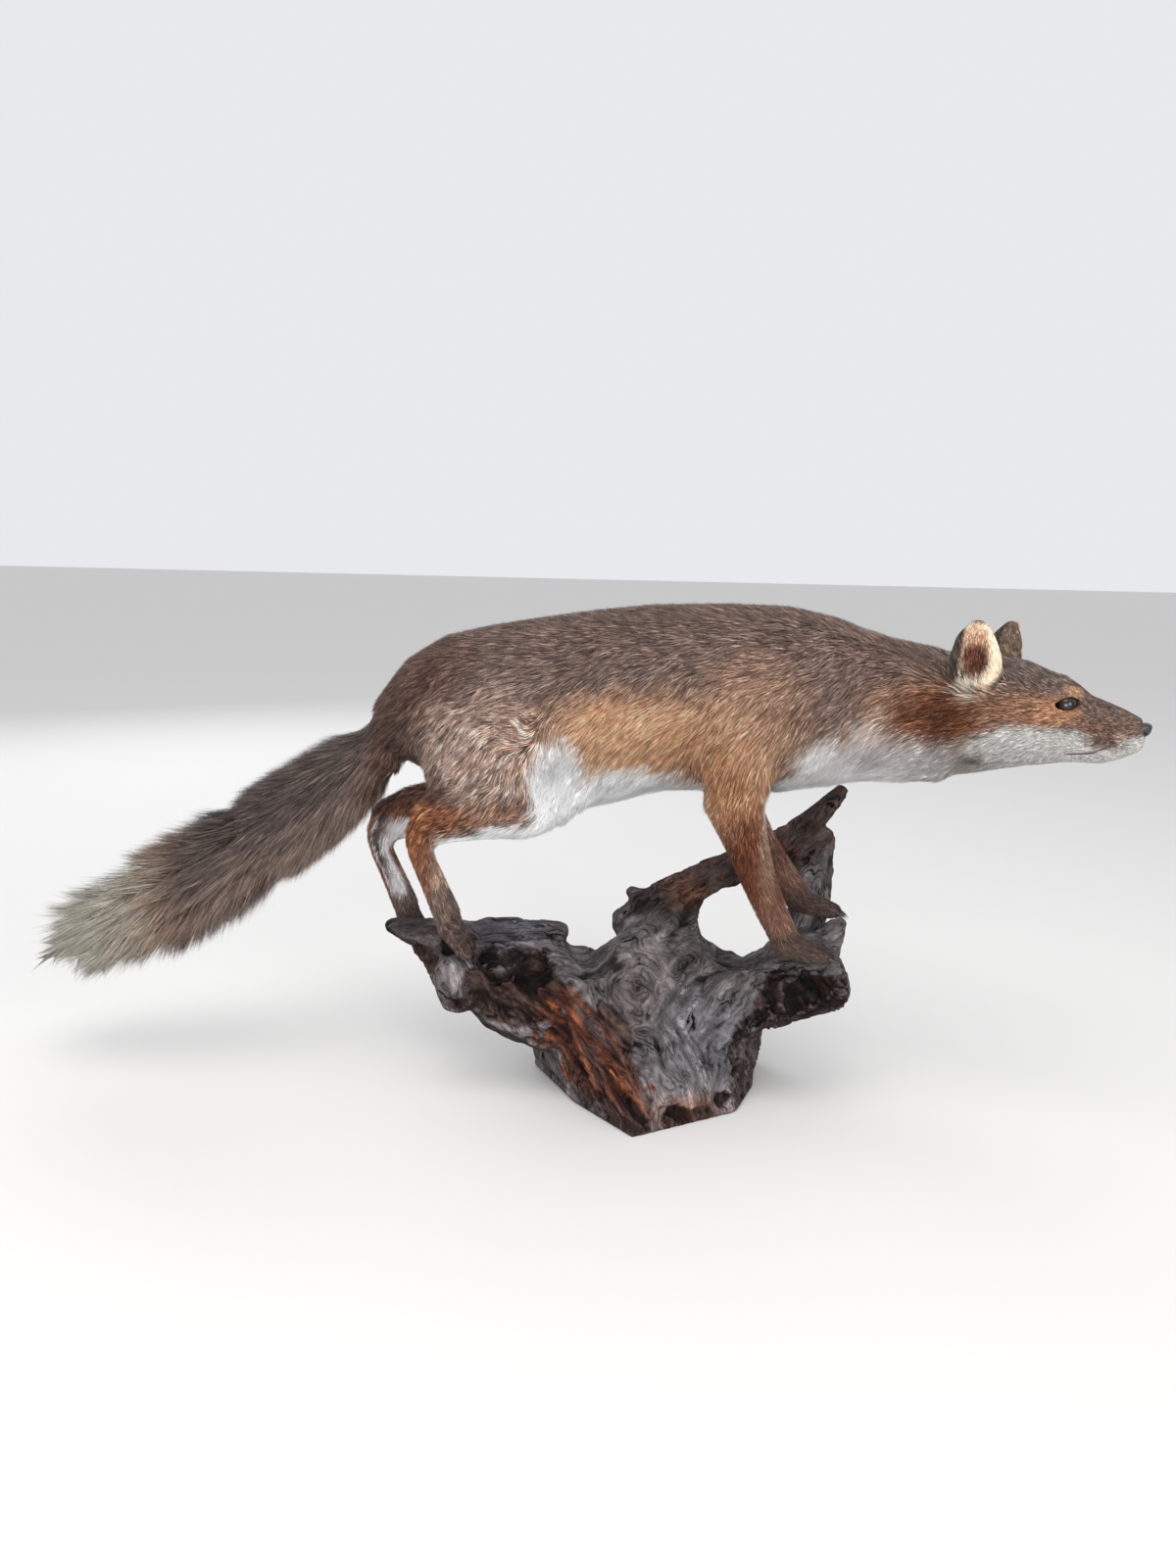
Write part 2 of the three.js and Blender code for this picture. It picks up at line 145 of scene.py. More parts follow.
def evened(values, edges, rounds, amount=0.5):
    """Values at the points, each drawn towards the mean of its neighbours."""
    values = np.array(values, float)
    count = len(values)
    shares = np.bincount(edges.ravel(), minlength=count)[:, None]
    for _ in range(rounds):
        total = np.stack([np.bincount(edges[:, 0], values[edges[:, 1], k], count)
                          + np.bincount(edges[:, 1], values[edges[:, 0], k], count)
                          for k in range(values.shape[1])], 1)
        values += amount * (total / np.maximum(shares, 1) - values)
    return values


def put_colours(made, colours):
    """Colours in linear light, kept with the points as the layer that the finishes read."""
    layer = made.data.color_attributes.new("Tint", "FLOAT_COLOR", "POINT")
    with_alpha = np.c_[colours, np.ones(len(colours))]
    layer.data.foreach_set("color", with_alpha.astype(np.float32).ravel())


# %% Rings and tubes
def ring_corners(rings, around):
    """The corners of a stack of rings, and for each the next one on its ring."""
    first, place = np.arange(rings)[:, None] * around, np.arange(around)
    return (first + place).ravel(), (first + (place + 1) % around).ravel()


def tube_faces(rings, around):
    """Quads that join each ring to the next one."""
    a, b = ring_corners(rings - 1, around)
    return np.stack([a, b, b + around, a + around], 1)


print("three rings of eight points make", len(tube_faces(3, 8)), "quads")


# %% Solids and even skins
def welded(node):
    """A solid's surface with shared corners: points, normals and triangles."""
    shape = bmesh.new()
    shape.from_mesh(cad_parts[node].data)
    bmesh.ops.remove_doubles(shape, verts=shape.verts, dist=1e-5)
    bmesh.ops.triangulate(shape, faces=shape.faces)
    shape.normal_update()
    points = np.array([v.co for v in shape.verts]) / MM
    normals = np.array([v.normal for v in shape.verts])
    faces = np.array([[v.index for v in f.verts] for f in shape.faces])
    shape.free()
    return points, normals, faces


def remeshed(name, points, faces, size, finer=None):
    """An even skin of triangles over closed shells, cut once more where finer(points) says so."""
    shell = build(name, points, faces)
    cover = shell.modifiers.new("Cover", "REMESH")
    cover.mode = "VOXEL"
    cover.voxel_size = size * MM
    covered = shell.evaluated_get(bpy.context.evaluated_depsgraph_get())
    mesh = bpy.data.meshes.new_from_object(covered)
    bpy.data.objects.remove(shell)
    shape = bmesh.new()
    shape.from_mesh(mesh)
    if finer is not None:
        chosen = finer(np.array([v.co for v in shape.verts]) / MM)
        edges = [e for e in shape.edges if all(chosen[v.index] for v in e.verts)]
        bmesh.ops.subdivide_edges(shape, edges=edges, cuts=1, use_grid_fill=True)
    bmesh.ops.triangulate(shape, faces=shape.faces)
    shape.to_mesh(mesh)
    shape.free()
    return mesh


solid_sizes = [len(node.data.vertices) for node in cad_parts.values()]
print("solids of", min(solid_sizes), "to", max(solid_sizes), "points")

# %% [markdown]
# ## Camera, floor and light
# The fox is seen from its right side, a little from above, by a camera held slightly crooked.
# Large soft lights hang over and before it, as daylight from wide windows would fall.

# %% Camera
CAMERA_AT = (-0.03, -1.05148, 0.492678)
LOOK_DOWN, LOOK_ROLL, LOOK_TURN = (math.radians(a) for a in (11.2, 1.28, 1.7))
LENS = 27.05
ahead_of_lens = np.array([-math.sin(LOOK_TURN) * math.cos(LOOK_DOWN),
                          math.cos(LOOK_TURN) * math.cos(LOOK_DOWN), -math.sin(LOOK_DOWN)])
level_right = unit(np.cross(ahead_of_lens, [0, 0, 1]))
level_up = np.cross(level_right, ahead_of_lens)
right = level_right * math.cos(LOOK_ROLL) + level_up * math.sin(LOOK_ROLL)
up = level_up * math.cos(LOOK_ROLL) - level_right * math.sin(LOOK_ROLL)
lens = bpy.data.cameras.new("Camera")
lens.lens = LENS
lens.clip_start = 0.02
camera = bpy.data.objects.new("Camera", lens)
turned = np.eye(4)
turned[:3] = np.stack([right, up, -ahead_of_lens, CAMERA_AT], 1)
camera.matrix_world = Matrix(turned.tolist())
bpy.context.scene.collection.objects.link(camera)
bpy.context.scene.camera = camera
print("camera at", CAMERA_AT)

# %% Floor and lights
FLOOR_HALF = 20e3
floor_corners = np.array([(-1, -1, 0), (1, -1, 0), (1, 1, 0), (-1, 1, 0)]) * FLOOR_HALF
floor = build("floor", floor_corners, [[0, 1, 2, 3]], smooth=False)
floor_finish = bpy.data.materials.new("plain_floor")
floor_finish.use_nodes = True
floor_shader = floor_finish.node_tree.nodes["Principled BSDF"]
floor_shader.inputs["Base Color"].default_value = (0.69, 0.68, 0.66, 1)
floor_shader.inputs["Roughness"].default_value = 0.85
floor.data.materials.append(floor_finish)

world = bpy.data.worlds.new("Soft room")
world.use_nodes = True
sky = world.node_tree.nodes["Background"]
sky.inputs["Color"].default_value = (0.95, 0.96, 1.0, 1)
sky.inputs["Strength"].default_value = 0.85
bpy.context.scene.world = world
bpy.context.scene.view_settings.view_transform = "Standard"


def soft_light(name, at, towards, width, watts, tint):
    light = bpy.data.lights.new(name, "AREA")
    light.size = width
    light.energy = watts
    light.color = tint
    placed = bpy.data.objects.new(name, light)
    placed.location = at
    placed.rotation_euler = (Vector(towards) - Vector(at)).to_track_quat("-Z", "Y").to_euler()
    bpy.context.scene.collection.objects.link(placed)


# name, place and aim in metres, width, watts, tint
soft_light("Overhead", (-0.3, -0.7, 1.9), (0, 0, 0.25), 1.2, 14, (1, 0.99, 0.97))
soft_light("Window", (1.1, -1.9, 0.9), (0, 0, 0.25), 1.0, 22, (1, 0.99, 0.98))
soft_light("Front", (-0.5, -2.2, 0.3), (0, 0, 0.24), 1.3, 40, (0.98, 0.99, 1))
soft_light("Behind", (-1.2, 1.8, 1.4), (0, 0, 0.3), 1.4, 15, (0.95, 0.97, 1))
print("lights", [light.name for light in bpy.data.lights])

# %% [markdown]
# ## The fox's own directions
# The head turns 28 degrees to the fox's right, so places on it are given from the base of the
# skull: ahead to the nose, aside to the fox's left, and up. Colours and the lie of the hair are
# given for the right side alone, and each point of the left side asks for its like over there.

# %% Head directions
HEAD_AT = np.array([276.0, -35.0, 360.0])
HEAD_TURN = math.radians(28)
AHEAD = np.array([math.cos(HEAD_TURN), -math.sin(HEAD_TURN), 0])
LEFT = np.array([math.sin(HEAD_TURN), math.cos(HEAD_TURN), 0])
UP = np.array([0, 0, 1.0])
HEAD_AXES = np.stack([AHEAD, LEFT, UP])
HEAD_FROM = 190  # along the body, where the head and its ears begin
LEFT_SIDE = (8, 22)  # from the middle, where the left legs begin
FORE_TOP, HIND_TOP = (165, 330), (165, 350)  # heights over which a leg joins the trunk
FORE_SHIFT, HIND_SHIFT = (-25, -9), (56, 22)  # along and up, from a left foot to the right one


def on_head(places):
    return HEAD_AT + np.asarray(places, float) @ HEAD_AXES


def head_places(points):
    return (points - HEAD_AT) @ HEAD_AXES.T


def spine_aside(x):
    """How far aside the middle of the trunk and neck lies at each place along it."""
    return np.interp(x, [150, 185, 220, 250, 276], [-1, -5, -15, -25, -35])


def as_right_side(points):
    """Where each point would be on the right side, with the left legs moved to the right ones."""
    p = np.array(points, float)
    aside = p[:, 1] - spine_aside(p[:, 0])
    left = ease(*LEFT_SIDE, aside)
    fore = left * (p[:, 0] > 0) * (1 - ease(*FORE_TOP, p[:, 2]))
    hind = left * (p[:, 0] <= 0) * (p[:, 0] > -300) * (1 - ease(*HIND_TOP, p[:, 2]))
    for axis, fore_shift, hind_shift in zip((0, 2), FORE_SHIFT, HIND_SHIFT):
        p[:, axis] += fore_shift * fore + hind_shift * hind
    p[:, 1] = -np.abs(aside)
    return p


print("the head begins at", HEAD_AT, "and looks along", AHEAD.round(2))

# %% [markdown]
# ## One skin under the coat
# The solids reach out to the tips of the hair, so the skin lies inside them by the depth of the
# coat. Their cut faces would show as seams. One even mesh over all of them together has none:
# each solid is swollen a little to close the cuts, covered, evened, and then drawn inwards.

# %% Cover the flesh
FLESH = sorted(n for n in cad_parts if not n.startswith(("eye_", "nose", "stand_")))
KINDS = [n.removesuffix("_right").removesuffix("_left") for n in FLESH]
CLOSE_CUTS = 0.45
SKIN_STEP = 2.4
FACE_FROM, EARS_FROM, EARS_ABOVE = 34, -30, 412
points, faces, owner = [], [], []
for number, node in enumerate(FLESH):
    p, n, f = welded(node)
    faces.append(f + sum(len(q) for q in points))
    points.append(p + n * CLOSE_CUTS)
    owner += [number] * len(f)
points, faces, owner = np.concatenate(points), np.concatenate(faces), np.array(owner)
solid_tree = BVHTree.FromPolygons(points.tolist(), faces.tolist())


def on_face(p):
    """The face and the ears, where the skin needs smaller triangles."""
    ahead = head_places(p)[:, 0]
    return (ahead > FACE_FROM) | ((ahead > EARS_FROM) & (p[:, 2] > EARS_ABOVE) & (p[:, 0] > 200))


def is_kind(numbers, kinds):
    """Which of the solids, given by their numbers in FLESH, are of these kinds."""
    return np.isin(numbers, [k for k, kind in enumerate(KINDS) if kind in kinds])


skin_mesh = remeshed("skin", points, faces, SKIN_STEP, finer=on_face)
skin_points, skin_faces, skin_edges = read(skin_mesh)
part = owner[[solid_tree.find_nearest(p)[2] for p in skin_points.tolist()]]
print("skin", len(skin_points), "points", len(skin_faces), "triangles")

# %% [markdown]
# ## What each part wears
# One row for each part of the animal: how deep its coat is, how long and wide a tuft is, and how
# many tufts cover a square centimetre. The rows are evened over the skin, so none of them ends
# in a line.

# %% Coat of each part
WEAR = {  # depth, length, width, tufts for each square centimetre
    "head": (3.0, 7.5, 0.8, 150), "lower_jaw": (2.2, 6, 0.75, 150), "neck": (7, 16, 1.1, 92),
    "trunk_chest": (6, 14, 1.1, 88), "trunk_loins": (6, 13.5, 1.1, 88),
    "trunk_rump": (6, 13.5, 1.1, 88), "thigh": (6, 13, 1.1, 96), "shank": (3.6, 9, 0.9, 95),
    "hock": (2.2, 7, 0.85, 100), "hind_paw": (1.2, 4.2, 0.7, 150), "fore_leg": (3.0, 8, 0.9, 95),
    "fore_paw": (1.2, 4.2, 0.7, 150), "ear": (0.6, 5.5, 0.7, 130), "tail_base": (13, 27, 0.85, 120),
    "tail_middle": (20, 33, 0.85, 145), "tail_tip": (22, 40, 0.85, 190),
}
MUZZLE_WEAR, RUFF_WEAR, EYELID_WEAR = (0.8, 3.6, 0.6, 260), (5.0, 12, 1.0, 110), (0.8, 4.2)
RUFF_SHARE = (0.8, 1, 1, 1)  # the ruff's depth is taken over only in part
BETWEEN_EYES = (70.5, 0, 18)
rows = np.array([WEAR[kind] for kind in KINDS], float)
wear = evened(rows[part], skin_edges, 14)
places = head_places(skin_points)
head_share = evened(is_kind(part, ("head", "lower_jaw"))[:, None], skin_edges, 6)[:, 0]
muzzle = head_share * ease(58, 92, places[:, 0])
ruff = head_share * (1 - ease(5, 50, places[:, 0]))
wear += (muzzle[:, None] * (np.array(MUZZLE_WEAR) - wear)
         + ruff[:, None] * (np.array(RUFF_WEAR) - wear) * RUFF_SHARE)
from_eyes = np.linalg.norm((places - BETWEEN_EYES) * (1, 0, 1), axis=1) + 100 * (1 - head_share)
wear[:, :2] = tinged(wear[:, :2], 1 - ease(12, 22, from_eyes), np.array(EYELID_WEAR))
depth = wear[:, 0]
print("coat of", len(WEAR), "kinds of part, on the flesh of", len(FLESH), "solids")

# %% Draw the skin inwards
ROUNDS = {"head": 10, "lower_jaw": 6, "ear": 5, "fore_paw": 2, "hind_paw": 2, "hock": 8,
          "fore_leg": 10}
MOST_ROUNDS, MUZZLE_ROUNDS = 34, 2
rounds = np.array([ROUNDS.get(kind, MOST_ROUNDS) for kind in KINDS])[part]
rounds = evened(rounds[:, None], skin_edges, 10)[:, 0]
rounds += muzzle * (MUZZLE_ROUNDS - rounds)
rounds += ruff * ease(0, -30, places[:, 2]) * (MOST_ROUNDS - rounds)
for k in range(MOST_ROUNDS):
    amount = np.clip(rounds - k, 0, 1)[:, None]
    drawn = evened(skin_points, skin_edges, 1, 0.5)
    back = evened(drawn, skin_edges, 1, -0.53)
    skin_points += amount * (back - skin_points)
skin_normals = unit(evened(normals_of(skin_points, skin_faces), skin_edges, 4))
outer_points = skin_points.copy()
skin_points -= skin_normals * depth[:, None]
skin_points = tinged(skin_points, 1 - 0.8 * muzzle, evened(skin_points, skin_edges, 3, 0.4))
print("coat from", round(depth.min(), 1), "to", round(depth.max(), 1), "mm deep")

# %% [markdown]
# ## Markings and painted shade
# A fox is dark along the back, warm on the flanks and pale below. Soft patches, each with a
# centre, a reach and a colour, are laid over each other in order, with ragged edges. Some of the
# colour is painted shade: grey on the white under the head, brown between the thighs and dark
# under the tail. Skin and coat both ask this one function, so their colours always agree.

# %% Colours of hair
TAUPE, BROWN, FOXY = paint(121, 101, 94), paint(86, 58, 46), paint(168, 104, 62)
RUST, TAN, APRICOT = paint(158, 102, 70), paint(216, 166, 130), paint(200, 146, 108)
CREAM, WHITE, SMOKE = paint(236, 218, 190), paint(247, 246, 246), paint(206, 198, 196)
SOOT, BLACK, MAUVE = paint(64, 52, 48), paint(20, 17, 17), paint(188, 158, 144)
UMBER, DUSK, PEAT = paint(136, 92, 70), paint(118, 102, 96), paint(88, 70, 64)
# The first of these is white hair painted grey, as painted shade under the head.
SHADED_WHITE, STRAW, OLIVE = paint(192, 191, 187), paint(150, 126, 106), paint(176, 173, 160)
BODY_PATCHES = [  # centre and reach along, aside and up, colour, strength, softness
    ((-60, -20, 452), (260, 90, 44), paint(108, 88, 80), 0.6, 0.5),
    ((-208, -30, 385), (50, 70, 56), paint(92, 62, 52), 0.75, 0.5),
    ((85, -74, 345), (56, 40, 66), TAN, 0.36, 0.5),
    ((-10, -66, 332), (98, 40, 46), TAN, 0.95, 0.42),
    ((36, -66, 318), (40, 30, 36), RUST, 0.4, 0.5),
    ((-20, 0, 270), (112, 84, 52), WHITE, 1.0, 0.14),
    ((-148, -75, 322), (62, 40, 56), MAUVE, 0.6, 0.45),
    ((-156, -76, 304), (52, 36, 36), MAUVE, 0.6, 0.4),
    ((-128, -71, 270), (62, 30, 15), paint(140, 98, 74), 0.7, 0.4),
    ((-198, -66, 286), (22, 26, 22), BROWN, 0.85, 0.6),
    ((-83, -62, 294), (24, 34, 44), WHITE, 1.0, 0.22),
    ((-112, -62, 245), (42, 24, 15), WHITE, 1.0, 0.25),
    ((-196, -63, 264), (44, 30, 16), paint(136, 82, 54), 0.95, 0.4),
    ((-150, -57, 235), (46, 24, 9), WHITE, 0.95, 0.3),
    ((-214, -57, 246), (20, 30, 24), paint(150, 88, 54), 0.95, 0.4),
    ((-204, -57, 215), (13, 22, 36), RUST, 0.7, 0.4),
    ((-186, -57, 205), (10, 22, 34), paint(190, 162, 144), 0.75, 0.5),
    ((-176, -58, 178), (24, 26, 24), paint(124, 106, 98), 0.85, 0.5),
    ((-160, -60, 150), (40, 34, 20), PEAT, 0.9, 0.4),
    ((56, -66, 284), (42, 34, 50), paint(196, 140, 102), 0.85, 0.5),
    ((82, -66, 218), (34, 30, 60), paint(122, 66, 40), 0.95, 0.4),
    ((97, -66, 240), (8, 22, 46), CREAM, 0.22, 0.5),
    ((108, -60, 178), (28, 30, 26), paint(152, 112, 94), 0.75, 0.5),
    ((128, -58, 150), (44, 34, 22), PEAT, 0.9, 0.4),
    ((132, -20, 282), (52, 46, 36), WHITE, 1.0, 0.22),
    ((150, -50, 315), (26, 30, 30), WHITE, 0.9, 0.4),
    ((200, -20, 300), (66, 60, 30), WHITE, 0.85, 0.3),
    ((186, -58, 336), (28, 26, 26), SMOKE, 0.9, 0.4),
    ((212, -46, 398), (52, 60, 36), BROWN, 0.35, 0.5),
    ((214, -58, 366), (40, 40, 30), TAN, 0.35, 0.5),
    ((238, -64, 362), (27, 34, 30), paint(122, 70, 38), 0.95, 0.5),
    ((163, -61, 347), (5, 14, 10), RUST, 0.8, 0.4),
    ((215, -60, 328), (34, 30, 22), SMOKE, 0.7, 0.5),
    ((-236, -20, 300), (30, 60, 40), BROWN, 0.8, 0.5),
]
print("patches", len(BODY_PATCHES), "on the body")

# %% Patches on the head and ears
HEAD_PATCHES = [
    ((30, 0, 45), (70, 46, 26), DUSK, 0.6, 0.4),
    ((104, 0, 10), (40, 22, 22), UMBER, 0.35, 0.4),
    ((96, -19, 4), (16, 10, 8), UMBER, 0.6, 0.6),
    ((102, 0, 14), (46, 26, 16), paint(110, 98, 92), 0.55, 0.5),
    ((44, -40, 12), (42, 22, 17), paint(160, 112, 82), 0.75, 0.5),
    ((68, -24, 13), (15, 14, 11), APRICOT, 0.7, 0.4),
    ((77, -13, 27), (8, 7, 5.5), paint(204, 156, 120), 0.85, 0.5),
    ((-34, -50, -30), (34, 34, 24), SMOKE, 0.9, 0.35),
    ((-28, -54, 4), (38, 22, 22), paint(120, 68, 38), 0.95, 0.5),
    ((-24, -52, 6), (17, 20, 12), paint(84, 46, 28), 0.7, 0.7),
    # The white of the lower cheeks, jaw and throat is painted grey: painted shade under the head.
    ((46, -42, -17), (44, 34, 18), SHADED_WHITE, 1.0, 0.25),
    ((68, -28, -14), (27, 24, 14), SHADED_WHITE, 0.9, 0.25),
    ((70, -15, -28), (66, 28, 18), SHADED_WHITE, 1.0, 0.2),
    ((122, -6, -12), (17, 14, 10), SHADED_WHITE, 0.95, 0.25),
    ((105, -18, -11), (13, 9, 5.5), BROWN, 0.5, 0.6),
    ((114, -14, -4), (5, 7, 3), MAUVE, 0.7, 0.5),
    ((0, -14, -54), (60, 40, 22), SHADED_WHITE, 0.8, 0.4),
]
EAR_SPOTS = [  # ahead and up, half width and height, colour, where its edge begins
    (1, 58, 14.5, 25, paint(202, 162, 134), 0.7), (1.5, 48, 12.5, 18, paint(92, 50, 34), 0.6),
    (-2, 27, 10, 12, paint(196, 186, 172), 0.5), (-7, 37, 2.2, 6, SOOT, 0.6),
    (10, 25, 4, 4, UMBER, 0.5),
]
print("patches", len(HEAD_PATCHES), "on the head", len(EAR_SPOTS), "in each ear")

# %% Lay colours over each other
EDGE_RAGGED = 0.12
TAIL_FROM, TAIL_LONG = -238, 330


def laid_over(colours, places, patches, ragged, weight=1.0):
    """Colours with each patch laid over them in turn."""
    for centre, reach, colour, strength, softness in patches:
        far = np.linalg.norm((places - centre) / np.array(reach), axis=1) + EDGE_RAGGED * ragged
        share = strength * (1 - ease(1 - softness, 1 + softness, far)) * weight
        colours = tinged(colours, share, colour)
    return colours


def tail_share(points):
    """Where a point is along the tail: 0 at the rump, 1 at the last hairs."""
    return np.clip((TAIL_FROM - points[:, 0]) / TAIL_LONG, 0, 1) * ease(-225, -262, points[:, 0])


def leg_markings_and_shade(colours, points, normals, ragged):
    """White inner sides of the hind legs, brown with painted shade between the thighs, and a foxy
    rear edge.
    """
    x, y, z = points.T
    inner = np.clip(normals[:, 1] * -np.sign(y - spine_aside(x)), 0, 1)
    inner *= (1 - ease(228, 256, z)) * (x < -60) * (x > -290)
    inner *= ease(150, 175, z) * ease(-0.7, -0.3, normals[:, 0])
    colours = tinged(colours, 0.85 * ease(0.3, 0.8, inner), WHITE)
    # Brown between the thighs, darkened there as painted shade.
    between = ease(0.1, 0.6, normals[:, 1] * -np.sign(y)) * (x < -140) * (x > -260)
    between *= ease(236, 262, z) * (1 - ease(290, 310, z))
    colours = tinged(colours, 0.8 * between, BROWN)
    low_edge = np.where(y > 0, 152, 190)
    rear = ease(0.35, 0.75, -normals[:, 0] + 0.15 * ragged) * ease(low_edge, low_edge + 18, z)
    rear *= (1 - ease(240, 262, z)) * (x < -170) * (x > -300)
    return tinged(colours, 0.8 * rear, FOXY)


print("share of the tail at its bend", tail_share(np.array([[-420.0, 0, 165]])).round(2))


# %% Ears and tail
def ear_markings(colours, points, normals, head, ragged):
    """Ears with a dark back and rim, and pale hair with a brown hollow inside."""
    on_left = head_places(points)[:, 1] > 0
    far = np.linalg.norm((head - (1, -45, 56)) / (25, 24, 36), axis=1) + 0.06 * ragged
    ear = (1 - ease(0.85, 1.15, far)) * (points[:, 0] > HEAD_FROM)
    opens = np.tile([0.25, 1.0, 0.1], (len(points), 1))
    opens[~on_left, 1] = -1.0
    inside = ease(-0.15, 0.25, (normals * (unit(opens) @ HEAD_AXES)).sum(1) + 0.1 * ragged)
    within = np.tile(CREAM, (len(points), 1))
    for ahead, high, half_wide, half_high, colour, edge in EAR_SPOTS:
        across, above = (head[:, 0] - ahead) / half_wide, (head[:, 2] - high) / half_high
        within = tinged(within, 1 - ease(edge, 1.1, np.hypot(across, above) + 0.1 * ragged), colour)
    top_rim = 0.8 * ease(79, 85, head[:, 2] + ragged)
    rim = np.maximum(ease(-10.5, -14.5, head[:, 0] - 0.06 * head[:, 2]), top_rim)
    dress = tinged(SOOT, inside, tinged(within, rim, SOOT))
    front = ease(-1, 8, head[:, 0] - 0.12 * (head[:, 2] - 50) + 2 * ragged) * on_left * (1 - inside)
    return tinged(colours, ear, tinged(dress, 0.75 * front, STRAW))


def tail_markings_and_shade(colours, points, normals, ragged):
    """A dusky tail, warmer at its sides and below, with painted shade on the underside itself, that
    ends in a pale tip.
    """
    along = tail_share(points)
    tail = tinged(paint(84, 72, 70), 0.6 * ease(0.3, -0.5, normals[:, 2]), paint(160, 136, 124))
    # Painted shade: the underside, turned down, is dark.
    tail = tinged(tail, 0.8 * ease(-0.6, -0.95, normals[:, 2]), paint(84, 70, 72))
    tail = tinged(tail, 0.5 * ease(0.5, 0.62, along + 0.06 * ragged), paint(168, 134, 108))
    tail = tinged(tail, 0.9 * ease(0.56, 0.76, along + 0.08 * ragged), OLIVE)
    far_leg = (points[:, 1] > 40) & (points[:, 2] < 280) & (points[:, 0] > -305)
    return tinged(colours, ease(0.0, 0.08, along) * (points[:, 0] < -225) * ~far_leg, tail)


# %% The whole coat's colour
def markings_and_shade(points, normals):
    """The colour of the coat at points on it, in linear light, with some painted shade."""
    ragged = rough(points, 9, 3)
    head = head_places(points)
    head[:, 1] = -np.abs(head[:, 1])
    colours = np.tile(TAUPE, (len(points), 1))
    colours = laid_over(colours, as_right_side(points), BODY_PATCHES, ragged)
    colours = leg_markings_and_shade(colours, points, normals, ragged)
    on_skull = ease(-64, -44, head[:, 0] + 6 * ragged) * (points[:, 0] > HEAD_FROM)
    colours = laid_over(colours, head, HEAD_PATCHES, ragged, on_skull)
    colours = ear_markings(colours, points, normals, head, ragged)
    colours = tail_markings_and_shade(colours, points, normals, ragged)
    return np.clip(colours, 0, 1)


flank, outwards = np.array([[-10.0, -66, 332]]), np.array([[0, -1.0, 0]])
print("the flank, in linear light", markings_and_shade(flank, outwards).round(2))

# %% [markdown]
# ## The lie of the coat
# Hair points from the nose backwards, down the sides and legs, and along the tail. A groomer
# would draw that as strokes on a chart. Each stroke here has a place and a direction, and the
# hair between them follows the nearest ones, kept flat to the skin.

# %% Comb strokes
BODY_STROKES = [
    ((250, -25, 415), (-1, 0, -0.05)), ((200, -60, 370), (-0.9, 0, -0.42)),
    ((205, -60, 330), (-0.78, 0, -0.62)), ((220, -20, 296), (-1, 0, -0.1)),
    ((185, -48, 312), (-0.85, 0, -0.5)), ((140, -50, 320), (-0.6, 0, -0.78)),
    ((165, -58, 362), (-0.75, 0, -0.66)), ((110, -20, 287), (-0.95, 0, -0.2)),
    ((75, -74, 350), (-0.62, 0, -0.78)), ((73, -58, 417), (-0.95, 0, -0.3)),
    ((11, -36, 439), (-0.95, 0, -0.3)), ((0, -68, 370), (-0.8, 0, -0.6)),
    ((-18, -66, 330), (-0.7, 0, -0.7)), ((-49, -51, 294), (-0.55, 0, -0.8)),
    ((-50, 0, 280), (-1, 0, 0)), ((-100, -36, 430), (-0.9, 0, -0.4)),
    ((-69, -68, 352), (-0.75, 0, -0.65)), ((-207, -39, 396), (-0.75, 0, -0.65)),
    ((-160, -60, 385), (-0.78, 0, -0.6)), ((-233, -44, 350), (-0.7, 0, -0.7)),
    ((-130, -72, 350), (-0.95, 0, -0.2)), ((-108, -68, 340), (-0.6, 0, 0.7)),
    ((-110, -68, 308), (-0.25, 0, -0.97)), ((-96, -66, 338), (0.25, 0, -0.95)),
    ((-152, -75, 318), (-0.6, 0, -0.8)), ((-190, -70, 330), (-0.55, 0, -0.85)),
    ((-150, -71, 275), (-0.72, 0, -0.7)), ((-86, -59, 285), (-0.4, 0, -0.9)),
    ((-119, -62, 250), (-0.85, 0, -0.4)), ((-170, -57, 240), (-0.97, 0, -0.1)),
    ((-184, -63, 263), (-0.92, 0, -0.3)), ((-213, -57, 251), (-0.4, 0, -0.92)),
    ((-203, -55, 225), (0.1, 0, -1)), ((-186, -55, 190), (0.25, 0, -0.97)),
    ((-172, -60, 158), (0.6, 0, -0.75)), ((-150, -60, 143), (0.8, 0, -0.6)),
    ((46, -66, 305), (-0.3, 0, -0.95)), ((90, -50, 290), (-0.3, 0, -0.95)),
    ((71, -69, 245), (0.12, 0, -0.98)), ((97, -66, 192), (0.3, 0, -0.95)),
    ((118, -58, 160), (0.6, 0, -0.8)), ((140, -56, 148), (0.93, 0, -0.3)),
    ((155, -56, 138), (0.8, 0, -0.6)),
]
